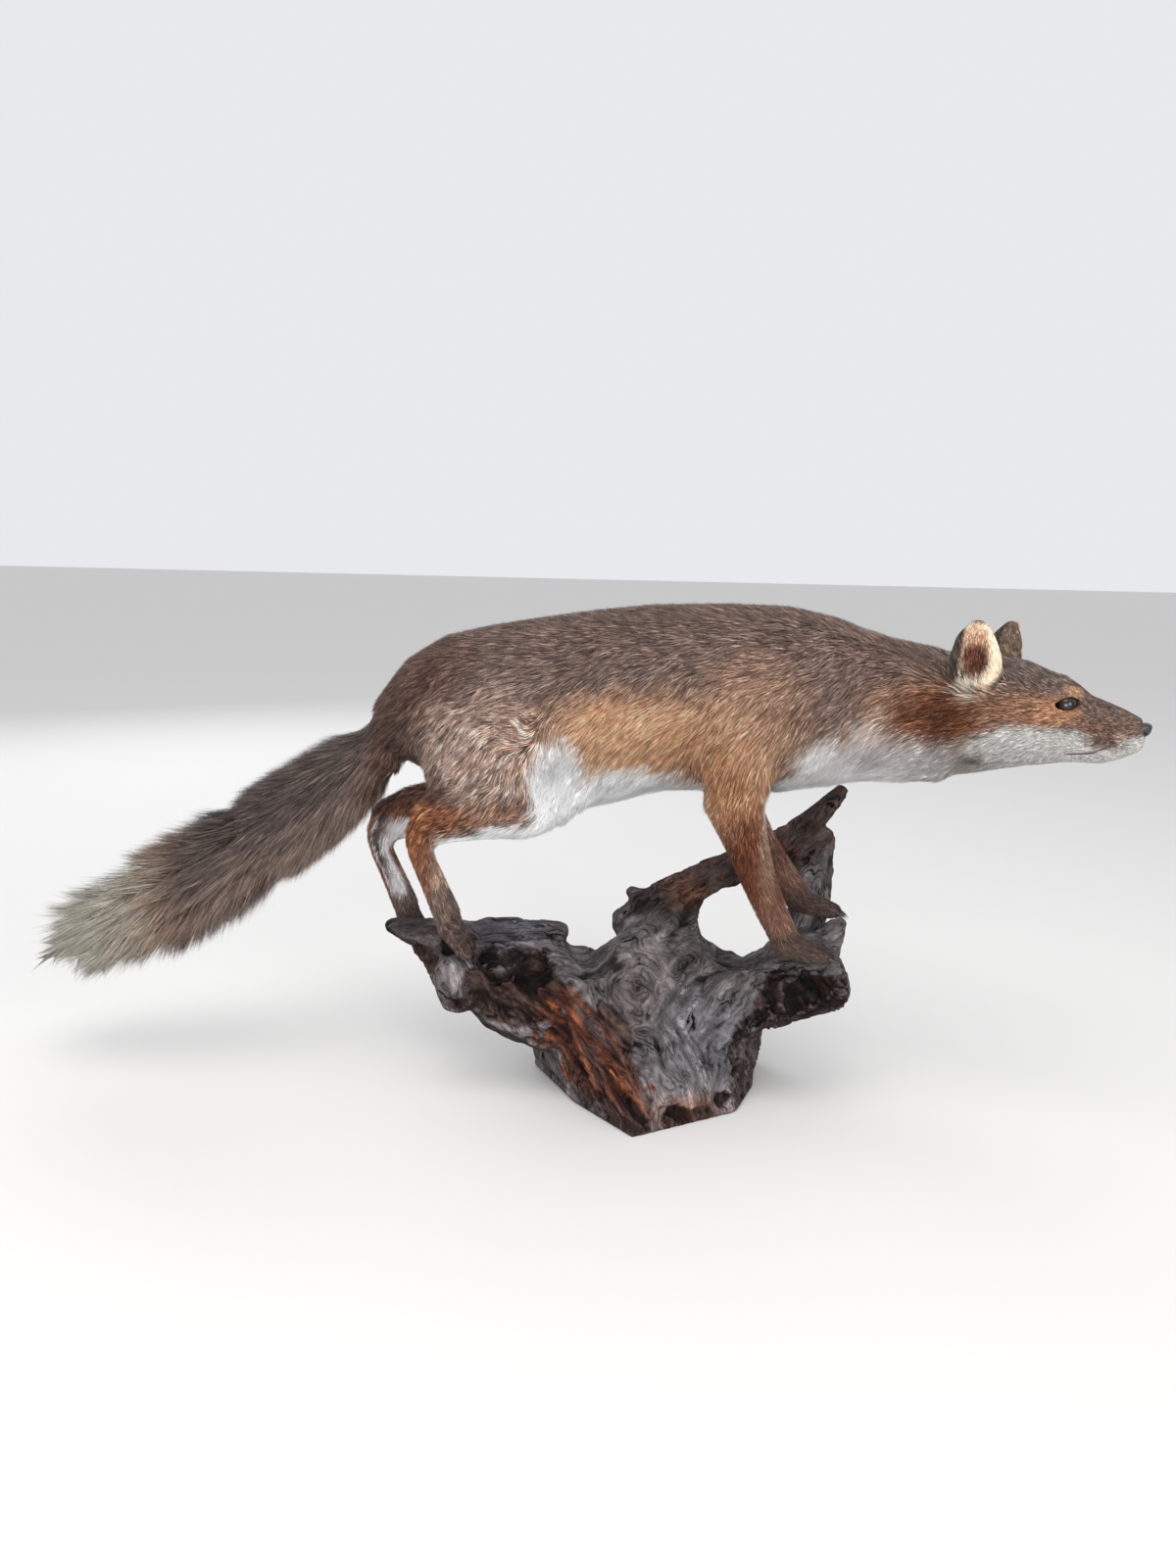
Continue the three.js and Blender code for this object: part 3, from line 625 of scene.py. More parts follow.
HEAD_STROKES = [
    ((126, -9, -4), (-0.8, -0.6, 0)), ((126, 0, -14), (-0.9, -0.1, -0.4)),
    ((110, -12, 8), (-1, -0.1, 0.15)), ((110, -14, -12), (-1, -0.15, -0.1)),
    ((92, -9, 20), (-0.95, -0.1, 0.3)), ((95, -17, -15), (-1, -0.15, -0.1)),
    ((75, -6, 32), (-0.9, 0, 0.42)), ((66, -30, 4), (-0.95, -0.2, -0.2)),
    ((45, -34, 12), (-0.97, -0.15, -0.15)), ((50, -25, 32), (-1, -0.1, 0.12)),
    ((40, -20, 42), (-1, -0.05, 0.15)), ((15, -20, 54), (-1, -0.1, 0)),
    ((25, -50, -6), (-0.93, -0.2, -0.34)), ((0, -52, 5), (-0.88, -0.1, -0.45)),
    ((-17, -53, 7), (-0.9, 0, -0.45)), ((-23, -51, -24), (-0.9, 0, -0.4)),
    ((54, -35, -18), (-1, -0.1, -0.1)), ((-8, -27, -45), (-1, 0, -0.1)),
    ((60, 0, -30), (-1, 0, -0.1)), ((-20, -10, 58), (-1, 0, 0)),
    ((1, -36, 36), (-0.15, -0.2, 0.95)), ((2, -46, 58), (0, -0.12, 1)),
    ((2, -50, 76), (0, -0.1, 1)), ((20, -36, 30), (-0.8, -0.4, 0.2)),
]
print("strokes", len(BODY_STROKES), "on the body", len(HEAD_STROKES), "on the head")

# %% Comb the skin
TAIL_AXIS, TAIL_STROKES = [(-251, 0, 312), (-420, 0, 165), (-566, 0, 112)], 12
BODY_REACH, HEAD_REACH = 60, 30
HEAD_WEIGHT, TAIL_WEIGHT = 1.5, 12


def tail_strokes():
    first, bend, last = (np.array(p, float) for p in TAIL_AXIS)
    strokes = []
    for t in np.linspace(0, 1, TAIL_STROKES):
        at = (1 - t) ** 2 * first + 2 * t * (1 - t) * bend + t * t * last
        along = unit(2 * (1 - t) * (bend - first) + 2 * t * (last - bend))
        strokes.append((at, along))
    return strokes


def nearness(points, at, reach):
    """How much a stroke counts at each point: most close by, and hardly at all further off."""
    return (1 / (np.sum((points - at) ** 2, 1) + reach) ** 2)[:, None]


def laid_flat(flow, normals):
    return unit(flow - normals * np.sum(flow * normals, 1)[:, None])


def comb(points, normals):
    """The direction of the hair at points on the skin."""
    body = as_right_side(points)
    head = head_places(points)
    side = np.where(head[:, 1] > 0, 1.0, -1.0)
    mirrored = head * np.stack([np.ones(len(head)), -side, np.ones(len(head))], 1)
    flow = np.zeros_like(points)
    skull = ease(-55, -25, head[:, 0])[:, None] * (points[:, :1] > 180)
    for at, along in BODY_STROKES:
        flow += nearness(body, at, BODY_REACH) * np.array(along, float) * (1 - skull)
    for at, along in HEAD_STROKES:
        turned = np.tile(np.array(along, float), (len(points), 1))
        turned[:, 1] *= -side
        flow += nearness(mirrored, at, HEAD_REACH) * (turned @ HEAD_AXES) * skull * HEAD_WEIGHT
    for k, (at, along) in enumerate(tail_strokes()):
        hang = (0.25 + 0.04 * k) * (0.7 - 0.5 * np.clip((points[:, 2] - at[2]) / 25, -1, 1))
        lie = along - hang[:, None] * UP
        flow += nearness(points, at, BODY_REACH) * lie * (points[:, :1] < -215) * TAIL_WEIGHT
    return laid_flat(unit(flow), normals)


skin_normals = normals_of(skin_points, skin_faces)
skin_flow = laid_flat(evened(comb(skin_points, skin_normals), skin_edges, 3), skin_normals)
skin_colours = markings_and_shade(outer_points, skin_normals)
# Painted shade in the hollows of the paws: places lying below their neighbours get darker hair.
paw_hollow_shade = evened(skin_points, skin_edges, 6) - skin_points
paw_hollow_shade = ease(0.1, 0.7, (paw_hollow_shade * skin_normals).sum(1)) * is_kind(part, ("fore_paw", "hind_paw"))
print("combed", len(skin_flow), "points with", TAIL_STROKES, "more strokes on the tail")

# %% [markdown]
# ## Eyes and lids
# A fox's eye is a dark glossy ball with an amber brown iris. The lids are part of the skin, an
# almond opening with a dark rim. The even mesh is too coarse for that edge, so each pair of
# lids is its own fine ring of triangles that runs from the rim out into the skin and joins it.

# %% Place of the eyes
EYE_RADIUS = 8.5
EYES = {side: on_head([[70.2, sign * 16.5, 17.8]])[0] for side, sign in SIDES.items()}
LID_ROUNDS, LID_STEPS = 12, 72
LID_REACH, LID_FLAT = 15.0, 0.86
OPEN_HALF_LONG, OPEN_HALF_HIGH, LOWER_LID = 9.8, 4.8, 0.9
SLIT_CURVE, RIM_SHAPE, RIM_CURL = 1.2, 1.25, 1.6
LID_GAP, LEAST_GAP, LID_SWELL = 0.8, 0.5, 0.5
FROM_OUTSIDE = 40
lid_points, lid_faces, lid_colours = [], [], []


def eye_axes(sign):
    """Outwards from the eye, along its slit to the front corner, and up across it."""
    outwards = unit(np.array([0.42, 0.88 * sign, 0.2]))
    slit = np.array([0.93, 0.0, 0.3])
    slit = unit(slit - outwards * (slit @ outwards))
    across = np.cross(outwards, slit) * -sign
    return np.stack([outwards @ HEAD_AXES, slit @ HEAD_AXES, across @ HEAD_AXES])


print("eyes at", EYES["right"].round(1), "and", EYES["left"].round(1))


# %% Lids
def skin_over(centre, axes, flat_place):
    """How far out from the eye's centre the skin lies, over places beside the slit."""
    found = []
    for start in (centre + axes[0] * FROM_OUTSIDE + flat_place @ axes[1:]).tolist():
        hit = skin_tree.ray_cast(Vector(start), Vector((-axes[0]).tolist()))[0]
        found.append((np.array(hit) - centre) @ axes[0] if hit is not None else 0.0)
    return np.array(found)


def over_ball(gap, from_eye, least):
    """How far out a cover over the eyeball lies, by its gap to it."""
    return np.sqrt(np.maximum((EYE_RADIUS + gap) ** 2 - from_eye**2, least))


def lid_rings(centre, axes):
    """Rings from the rim of the opening out into the skin, and their colours."""
    angle = np.linspace(0, 2 * np.pi, LID_STEPS, endpoint=False)
    high = np.where(np.sin(angle) > 0, OPEN_HALF_HIGH, OPEN_HALF_HIGH * LOWER_LID)
    rim = np.stack([OPEN_HALF_LONG * np.cos(angle),
                    high * np.sign(np.sin(angle)) * np.abs(np.sin(angle)) ** RIM_SHAPE], 1)
    rim[:, 1] -= SLIT_CURVE * np.cos(angle) ** 3
    outer = np.stack([np.cos(angle), np.sin(angle) * LID_FLAT], 1) * LID_REACH
    corner = np.maximum(0, np.cos(angle - 0.35)) ** 3
    fades = 0.26 + 0.06 * np.cos(angle) + 0.2 * corner
    rings, tints = [], []
    for k in range(LID_ROUNDS):
        t = k / (LID_ROUNDS - 1)
        flat_place = rim + (outer - rim) * t**1.35
        from_eye = np.linalg.norm(flat_place, axis=1)
        on_ball = over_ball(LID_GAP, from_eye, 6.0)
        raised = on_ball + LID_SWELL * math.sin(math.pi * min(1, t * 2.2)) * (1 - t)
        on_skin = skin_over(centre, axes, flat_place)
        height = raised + (on_skin - 0.2 - raised) * ease(0.06, 0.7, t)
        height = np.maximum(height, over_ball(LEAST_GAP, from_eye, 0))
        if k == 0:
            height = on_ball - RIM_CURL
        rings.append(centre + height[:, None] * axes[0] + flat_place @ axes[1:])
        shade = markings_and_shade(rings[-1], np.tile(axes[0], (LID_STEPS, 1)))
        tints.append(tinged(shade, 1 - ease(0.13 + 0.08 * corner, fades, t), BLACK))
    return np.concatenate(rings), np.concatenate(tints)


# %% Fit the lids and sink the skin behind them
SUNK_FROM, SUNK_TO, SUNK_DEEP, SUNK_NEAR = 10.0, 14.5, 3, 26
skin_tree = BVHTree.FromPolygons(skin_points.tolist(), skin_faces.tolist())
for side, sign in SIDES.items():
    axes, centre = eye_axes(sign), EYES[side]
    rings, tints = lid_rings(centre, axes)
    base = sum(len(p) for p in lid_points)
    lid_points.append(rings)
    lid_colours.append(tints)
    quads = tube_faces(LID_ROUNDS, LID_STEPS)
    halves = np.concatenate([quads[:, [0, 1, 2]], quads[:, [0, 2, 3]]])
    if (normals_of(rings, halves) @ axes[0]).mean() < 0:
        halves = halves[:, ::-1]
    lid_faces.append(halves + base)
    local = (skin_points - centre) @ axes.T
    across_eye = np.hypot(local[:, 1], local[:, 2] / LID_FLAT)
    sunk = (1 - ease(SUNK_FROM, SUNK_TO, across_eye)) * (np.abs(local[:, 0]) < SUNK_NEAR)
    skin_points -= (sunk * np.maximum(0, local[:, 0] + SUNK_DEEP))[:, None] * axes[0]
print("lids", sum(len(p) for p in lid_points), "points")

# %% Eyeballs
def ball(radius, around, rows):
    """A ball of triangles, with its poles above and below."""
    turn = np.linspace(0, 2 * np.pi, around, endpoint=False)
    tilt = np.linspace(0, np.pi, rows + 1)[1:-1]
    grid = np.stack([np.outer(np.sin(tilt), np.cos(turn)), np.outer(np.sin(tilt), np.sin(turn)),
                     np.outer(np.cos(tilt), np.ones(around))], -1).reshape(-1, 3)
    points = np.concatenate([grid, [[0, 0, 1], [0, 0, -1]]]) * radius
    a, b = ring_corners(rows - 2, around)
    upper, lower = np.stack([a, a + around, b], 1), np.stack([b, a + around, b + around], 1)
    ring, following = ring_corners(1, around)
    last = (rows - 2) * around
    top = np.stack([np.full(around, len(grid)), ring, following], 1)
    bottom = np.stack([np.full(around, len(grid) + 1), last + following, last + ring], 1)
    return points, np.concatenate([upper, lower, top, bottom])


BALL_AROUND, BALL_ROWS = 72, 48
PUPIL, PUPIL_NARROW, IRIS_EDGE = 0.34, 0.78, (0.62, 0.78)
eyes = {}
for side, sign in SIDES.items():
    axes = eye_axes(sign)
    p, f = ball(EYE_RADIUS, BALL_AROUND, BALL_ROWS)
    gaze = unit(axes[0] + 0.35 * AHEAD)
    level = unit(axes[1] - gaze * (axes[1] @ gaze))
    rise = np.cross(gaze, level)
    facing = unit(p) @ gaze
    seen = np.hypot(unit(p) @ level / PUPIL_NARROW, unit(p) @ rise)
    iris = paint(36, 22, 16) + (0.5 * noise(unit(p), 0.09, 5)[:, None] + 0.2) * paint(40, 26, 16)
    tint = np.where(((seen < PUPIL) & (facing > 0))[:, None], paint(6, 5, 6), iris)
    edge = ease(*IRIS_EDGE, np.hypot(unit(p) @ level, unit(p) @ rise))
    tint = tinged(tint, np.where(facing > 0, edge, 1), paint(16, 11, 10))
    eyes[side] = build("eyeball_" + side, p + EYES[side], f)
    put_colours(eyes[side], np.clip(tint, 0, 1))
    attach(eyes[side], "root")
    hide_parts("eye_" + side)
print("eyeballs", [len(eye.data.vertices) for eye in eyes.values()], "points")

# %% [markdown]
# ## Nose and lips
# The nose pad is bare, black and pebbled, with a comma shaped nostril on each side and a groove
# down its middle. A dark line of lip shows where the mouth shuts.

# %% Nose pad
nose_solid = head_places(welded("nose")[0])
nose_at = (nose_solid.max(0) + nose_solid.min(0)) / 2
nose_half = (nose_solid.max(0) - nose_solid.min(0)) / 2
NOSE_AROUND, NOSE_ROWS = 72, 56
PIT_DEEP, GROOVE_DEEP, PEBBLES = 2.6, 0.9, 0.12
p, f = ball(1.0, NOSE_AROUND, NOSE_ROWS)
p = p[:, [2, 0, 1]]
squared = np.sign(p) * np.abs(p) ** np.array([0.74, 0.78, 0.5])
shape = squared * nose_half * (1.0, 0.96, 0.94)
narrowed = 0.26 + 0.74 * ease(-1.05, 0.35, p[:, 2])
shape[:, 0] = shape[:, 0] * narrowed + 0.1 * nose_half[0] * (1 - narrowed)
pits = np.zeros(len(p))
for sign in (-1, 1):
    hole = np.hypot((p[:, 1] - sign * 0.46) / 0.2, (p[:, 2] - 0.02) / 0.24)
    below = p[:, 2] + 0.22 - 0.25 * (np.abs(p[:, 1]) - 0.5)
    slit = np.hypot((p[:, 1] - sign * 0.74) / 0.26, below / 0.1)
    nostril = np.maximum(1 - ease(0.6, 1.25, hole), 0.85 * (1 - ease(0.5, 1.3, slit)))
    pits = np.maximum(pits, nostril * (p[:, 0] > -0.1))
groove = np.exp(-((p[:, 1] / 0.07) ** 2)) * ease(0.25, -0.1, p[:, 2]) * (p[:, 0] > 0)
shape -= unit(p * (1, 0.4, 0.4)) * (PIT_DEEP * pits + GROOVE_DEEP * groove)[:, None]
shape += unit(p) * (PEBBLES * noise(shape, 0.9, 31))[:, None]
nose = build("nose_pad", on_head(nose_at + shape), f)
# The pad is black; the nostrils are darker still, painted shade inside them.
put_colours(nose, paint(24, 21, 22) + (1 - 0.9 * pits)[:, None] * paint(24, 22, 24))
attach(nose, "root")
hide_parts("nose")
print("nose", [round(2 * s, 1) for s in nose_half], "mm, at", [round(s) for s in nose_at])

# %% Line of the lips
LIP_LINE = np.array([(68, -22.5), (76, -21.8), (86, -21), (94, -19.5), (102, -15), (110, -10),
                     (118, -7.5)])
skin_tree = BVHTree.FromPolygons(skin_points.tolist(), skin_faces.tolist())
lip_points, lip_faces = [], []
LIP_ROUND, LIP_THICK, LIP_STEPS = 8, 1.0, 40
BESIDE_HEAD, HALF_MUZZLE = 60, 14
step = np.arange(LIP_STEPS)
places = np.linspace(0, len(LIP_LINE) - 1, LIP_STEPS)
lip_path = np.stack([np.interp(places, np.arange(len(LIP_LINE)), line) for line in LIP_LINE.T], 1)
for sign in (-1, 1):
    middles = []
    for ahead, high in lip_path:
        start, aim = on_head([ahead, sign * BESIDE_HEAD, high]), -sign * LEFT
        hit = skin_tree.ray_cast(Vector(start.tolist()), Vector(aim.tolist()))[0]
        missed = on_head([ahead, sign * HALF_MUZZLE, high])
        middles.append(np.array(hit) if hit is not None else missed)
    middles = np.array(middles)
    middles[1:-1] = (middles[:-2] + middles[1:-1] + middles[2:]) / 3
    along = unit(np.gradient(middles, axis=0))
    out = unit(np.tile(sign * LEFT, (len(middles), 1)) - along * (along @ (sign * LEFT))[:, None])
    high = np.cross(along, out)
    taper = np.minimum((step + 0.4) / 6, (LIP_STEPS - step) / 26)
    taper = LIP_THICK * np.minimum(1, taper)[:, None]
    rings = [middles + (0.5 + 0.9 * math.cos(a)) * taper * out + 0.8 * math.sin(a) * taper * high
             for a in np.linspace(0, 2 * np.pi, LIP_ROUND, endpoint=False)]
    base = sum(len(q) for q in lip_points)
    lip_points.append(np.stack(rings, 1).reshape(-1, 3))
    lip_faces.append(tube_faces(LIP_STEPS, LIP_ROUND) + base)
lips = build("lips", np.concatenate(lip_points), np.concatenate(lip_faces))
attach(lips, "root")
print("lips", len(lips.data.vertices), "points")

# %% Join skin and lids
BARE_REACH, SKIN_UNDERCOAT_AND_SHADE = 13.2, 0.8
bare = np.zeros(len(skin_points))
for side, sign in SIDES.items():
    local = (outer_points - EYES[side]) @ eye_axes(sign).T
    across_eye = np.hypot(local[:, 1], local[:, 2] / LID_FLAT)
    bare = np.maximum(bare, (across_eye < BARE_REACH) & (np.abs(local[:, 0]) < 30))
lid_all = np.concatenate(lid_points)
lid_ring = np.tile(np.repeat(np.arange(LID_ROUNDS), LID_STEPS), 2) / (LID_ROUNDS - 1)
all_points = np.concatenate([skin_points, lid_all])
all_faces = np.concatenate([skin_faces] + [q + len(skin_points) for q in lid_faces])
all_normals = normals_of(all_points, all_faces)
lid_normals = all_normals[len(skin_points):]
lid_wear = np.stack([np.full(len(lid_all), 0.7), 2.4 + 2.0 * lid_ring,
                     np.full(len(lid_all), 0.6), 330.0 * (lid_ring > 0.2)], 1)
all_wear = np.concatenate([wear, lid_wear])
all_wear[: len(skin_points), 3] *= 1 - bare
all_flow = np.concatenate([skin_flow, comb(lid_all, lid_normals)])
all_colours = np.concatenate([skin_colours, np.concatenate(lid_colours)])
all_paw_hollow_shade = np.concatenate([paw_hollow_shade, np.zeros(len(lid_all))])
all_part = np.concatenate([part, np.full(len(lid_all), FLESH.index("head"))])
from_nose = np.linalg.norm((head_places(all_points) - nose_at) / (nose_half + 0.6), axis=1)
all_wear[:, 3] *= from_nose > 1
skin = build("fox_skin", all_points, all_faces)
# The skin is darker than the hair over it: a darker undercoat, and painted shade under the tufts.
put_colours(skin, all_colours * SKIN_UNDERCOAT_AND_SHADE)
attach(skin, "root")
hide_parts(*FLESH)
print("skin", len(all_faces), "triangles")

# %% Unwrap the skin
ISLAND_ANGLE, ISLAND_GAP = math.radians(72), 0.0015
bpy.context.view_layer.objects.active = skin
skin.select_set(True)
skin.data.uv_layers.new(name="OFBake")
bpy.ops.object.mode_set(mode="EDIT")
bpy.ops.mesh.select_all(action="SELECT")
bpy.ops.uv.smart_project(angle_limit=ISLAND_ANGLE, island_margin=ISLAND_GAP)
bpy.ops.object.mode_set(mode="OBJECT")
skin.select_set(False)
unwrap = np.empty(len(all_faces) * 6, np.float32)
skin.data.uv_layers["OFBake"].data.foreach_get("uv", unwrap)
unwrap = unwrap.reshape(-1, 3, 2)
print("unwrap from", unwrap.min().round(3), "to", unwrap.max().round(3))

# %% [markdown]
# ## The coat
# Hair on a mount lies in small pointed locks. On the body and face it is short, so each lock is
# the plainest solid there is, a long thin pyramid of four faces. Every tip is set to the
# right height over the skin wherever it lands, so the coat follows each hollow, and neighbouring
# tips lean together as combed hair does.

# %% Roots of the tufts
TUFTS = 366000
corners = all_points[all_faces]
one_edge, other_edge = corners[:, 1] - corners[:, 0], corners[:, 2] - corners[:, 0]
area = np.linalg.norm(np.cross(one_edge, other_edge), axis=1) / 2
wanted = area * all_wear[all_faces, 3].mean(1) / 100
print("tufts asked for", int(wanted.sum()))
order = np.cumsum(wanted) / wanted.sum()
face = np.searchsorted(order, (np.arange(TUFTS) + chance.random(TUFTS)) / TUFTS)
face = np.minimum(face, len(all_faces) - 1)
one, two = np.sqrt(chance.random(TUFTS)), chance.random(TUFTS)
share = np.stack([1 - one, one * (1 - two), one * two], 1)


def at_roots(values):
    """Values of the points, blended for each tuft by its place in its triangle."""
    return np.einsum("ij,ijk->ik", share, values[all_faces[face]])


root = at_roots(all_points)
normal = unit(at_roots(all_normals))
flow = unit(at_roots(all_flow))
high, long, wide, _ = at_roots(all_wear).T
root_part = all_part[all_faces[face, 0]]
in_tail = is_kind(root_part, ("tail_base", "tail_middle", "tail_tip"))
root_patch = np.einsum("ij,ijk->ik", share, unwrap[face])
print("tufts", TUFTS, "of them on the tail", int(in_tail.sum()))

# %% Bend and lean them
VARIED, LIFTED = (0.7, 1.25), (0.72, 1.08)
aside = np.cross(normal, flow)
on_thigh = ease(-75, -110, root[:, 0]) * (1 - ease(-205, -225, root[:, 0]))
on_thigh *= 1 - ease(345, 385, root[:, 2])
sway = 0.26 * noise(root, 15, 41) + (0.2 + 0.3 * on_thigh) * noise(root, 6, 43)
sway += 0.14 * chance.standard_normal(TUFTS)
flow = unit(flow + aside * sway[:, None])
aside = np.cross(normal, flow)
long = long * chance.uniform(*VARIED, TUFTS)
wide = wide * chance.uniform(*VARIED, TUFTS)
over = chance.uniform(*LIFTED, TUFTS) + 0.25 * (chance.random(TUFTS) < 0.05)
at_tip = ease(0.78, 1.0, tail_share(root))
fuller = in_tail * chance.uniform(0.0, 0.5, TUFTS)
over += fuller + 0.9 * at_tip * ease(-0.3, 0.5, normal[:, 2]) * chance.uniform(0.3, 1, TUFTS)
over *= 1 - 0.25 * at_tip * ease(-0.3, -0.8, normal[:, 2])
long *= 1 - 0.3 * at_tip
flow = unit(flow + at_tip[:, None] * 0.5 * chance.standard_normal((TUFTS, 3)))
tip = root + flow * long[:, None] + normal * (high * over)[:, None]
heads = chance.choice(TUFTS, TUFTS // 6, replace=False)
crowd = KDTree(len(heads))
for k, p in enumerate(root[heads].tolist()):
    crowd.insert(p, k)
crowd.balance()
leader = heads[np.array([crowd.find(p)[1] for p in root.tolist()])]
lean = chance.uniform(0.1, 0.5, TUFTS)[:, None]
tip += lean * (tip[leader] - tip)
print("leaders", len(heads))

# %% Set the tips over the skin
all_tree = BVHTree.FromPolygons(all_points.tolist(), all_faces.tolist())


def set_over_skin(points, height):
    """Each point moved to its height over the nearest place of the skin."""
    placed, out = np.empty_like(points), np.empty_like(points)
    for k, p in enumerate(points.tolist()):
        placed[k], out[k] = all_tree.find_nearest(p)[:2]
    return placed + out * height[:, None]


tip = set_over_skin(tip, high * over)
print("tips up to", round(float((high * over).max()), 1), "mm over the skin")

# %% Colour them from root to tip
AGOUTI, LOCKS = 0.55, 0.22  # how much single tufts and whole locks differ in tone
lock_tone = chance.standard_normal(TUFTS)
wander = chance.uniform(-0.5, 0.5, (TUFTS, 2)) * np.minimum(long, 16)[:, None]
outer = root + normal * high[:, None] + flow * wander[:, :1] + aside * wander[:, 1:] * 0.5
hair_tint_and_shade = markings_and_shade(outer, normal)
on_legs = (1 - ease(228, 256, root[:, 2])) * ~in_tail
tone = AGOUTI * chance.standard_normal(TUFTS) + (LOCKS + 0.32 * on_thigh) * lock_tone[leader]
tone = np.exp(tone * (1 - 0.45 * on_legs) + 0.1 * rough(root, 22, 53))
pale = hair_tint_and_shade.mean(1)
tone = 1 + (tone - 1) * (1.05 - 0.65 * ease(0.25, 0.65, pale))
hair_tint_and_shade = hair_tint_and_shade * tone[:, None] + (0.12 * ease(1.15, 1.9, tone))[:, None] * (CREAM - hair_tint_and_shade)
# Painted shade in the hollows of the paws.
hair_tint_and_shade *= (1 - 0.6 * at_roots(all_paw_hollow_shade[:, None]))
print("tones from", tone.min().round(2), "to", tone.max().round(2))

# %% Painted shade in the gaps between the toes
BRIGHTEST = 0.96
PAWS = ("fore_paw_right", "fore_paw_left", "hind_paw_right", "hind_paw_left")
TOES_POINT = {"fore": (35, 0.0, -7), "hind": (17, 0.0, -21)}
TOE_GAPS = (-7.9, 0.0, 7.9)


def paw_shape(paw):
    """The corners of a paw, the way its toes point, and how far aside its middle lies."""
    p = welded(paw)[0]
    return p, unit(np.array(TOES_POINT[paw[:4]])), (p[:, 1].max() + p[:, 1].min()) / 2


toe_gap_shade = np.zeros(TUFTS)
for paw in PAWS:
    p, forward, middle = paw_shape(paw)
    mine = root_part == FLESH.index(paw)
    ahead = root[mine] @ forward - (p @ forward).max()
    across = root[mine, 1:2] - middle - TOE_GAPS
    toe_gap_shade[mine] = (1 - ease(0.5, 2.0, np.abs(across).min(1))) * ease(-26, -16, ahead)
# Painted shade between the toes.
hair_tint_and_shade *= (1 - 0.75 * toe_gap_shade)[:, None]
# Roots are darker: a darker undercoat, and painted shade deep in the coat; pale hair keeps light
# roots.
root_tone_and_shade = 0.42 + 0.56 * ease(0.15, 0.6, pale)
warm_root = 1 - (1 - ease(0.25, 0.6, pale))[:, None] * (0, 0.12, 0.2)
colours = np.stack([hair_tint_and_shade * root_tone_and_shade[:, None] * warm_root, hair_tint_and_shade * 1.12], 1)
colours = np.clip(colours, 0, BRIGHTEST)
print("tufts between toes", int((toe_gap_shade > 0.5).sum()))

# %% Shapes of the tufts
roll = chance.uniform(-0.6, 0.6, TUFTS)[:, None]
flat_side = unit(aside * np.cos(roll) + normal * np.sin(roll))
ridge = unit(np.cross(flow, flat_side))
ridge *= np.sign((ridge * normal).sum(1))[:, None]
half = (wide / 2)[:, None]
base = root + normal * (0.12 * high)[:, None]
shapes = np.stack([base - flat_side * half, base + flat_side * half,
                   base + ridge * half * 0.7, tip], 1)
PATTERN = np.array([[0, 2, 1], [0, 1, 3], [1, 2, 3], [2, 0, 3]])
TONES = np.array([0, 0, 0, 1])
PATCH_HALF = 0.0015
PATCH = np.array([(-1, -1), (1, -1), (0, -0.5), (0, 1)]) * PATCH_HALF
print("tufts", len(root))

# %% Build the pieces of coat
GROUPS = {
    "coat_head": ("head", "lower_jaw"), "coat_ears": ("ear",), "coat_neck": ("neck",),
    "coat_chest": ("trunk_chest",), "coat_loins": ("trunk_loins",), "coat_rump": ("trunk_rump",),
    "coat_thighs": ("thigh",), "coat_hind_legs": ("shank", "hock", "hind_paw"),
    "coat_fore_legs": ("fore_leg", "fore_paw"), "coat_tail_base": ("tail_base",),
    "coat_tail_middle": ("tail_middle",), "coat_tail_tip": ("tail_tip",),
}
MOST_FACES = 190000
coat = []
for name, members in GROUPS.items():
    chosen = np.flatnonzero(is_kind(root_part, members))
    split = -(-len(chosen) * len(PATTERN) // MOST_FACES)
    for number, some in enumerate(np.array_split(chosen, split)):
        faces = (np.arange(len(some))[:, None, None] * 4 + PATTERN).reshape(-1, 3)
        letter = "" if split == 1 else "_" + "abcd"[number]
        piece = build(name + letter, shapes[some].reshape(-1, 3), faces)
        put_colours(piece, colours[some][:, TONES].reshape(-1, 3))
        patches = (root_patch[some][:, None] + PATCH).reshape(-1, 2)
        layer = piece.data.uv_layers.new(name="OFBake")
        layer.data.foreach_set("uv", patches[faces.ravel()].astype(np.float32).ravel())
        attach(piece, "root")
        coat.append(piece)
        print(piece.name, len(some), "tufts", len(faces), "faces")

# %% [markdown]
# ## Claws
# Each toe ends in a small dark claw, half hidden in the hair. It is a bent cone that starts
# inside the tip of the toe and points ahead and down.

# %% Claws
CLAW_LONG, CLAW_THICK, CLAW_AROUND, CLAW_STEPS = 10.5, 1.7, 10, 8
CLAW_HIDDEN, CLAW_DROP, CLAW_FLAT, CLAW_POINT = 4.5, 3.4, 0.72, 0.08
TOES, HALF_TOE = (-11.5, -4.2, 4.2, 11.5), 3.2
t = np.linspace(0, 1, CLAW_STEPS)[:, None]
thick = CLAW_THICK * (1 - t**1.6) + CLAW_POINT
claw_points, claw_faces = [], []
for paw in PAWS:
    p, forward, middle = paw_shape(paw)
    for toe in TOES:
        near = p[np.abs(p[:, 1] - middle - toe) < HALF_TOE]
        end = near[np.argmax(near @ forward)]
        start = np.array([end[0], middle + toe, end[2]]) - forward * CLAW_HIDDEN + UP
        path = start + forward * t * CLAW_LONG - UP * (t**2) * CLAW_DROP
        rings = [path + thick * np.array([0, CLAW_FLAT * math.cos(a), math.sin(a)])
                 for a in np.linspace(0, 2 * np.pi, CLAW_AROUND, endpoint=False)]
        first = sum(len(q) for q in claw_points)
        claw_points.append(np.stack(rings, 1).reshape(-1, 3))
        claw_faces.append(tube_faces(CLAW_STEPS, CLAW_AROUND) + first)
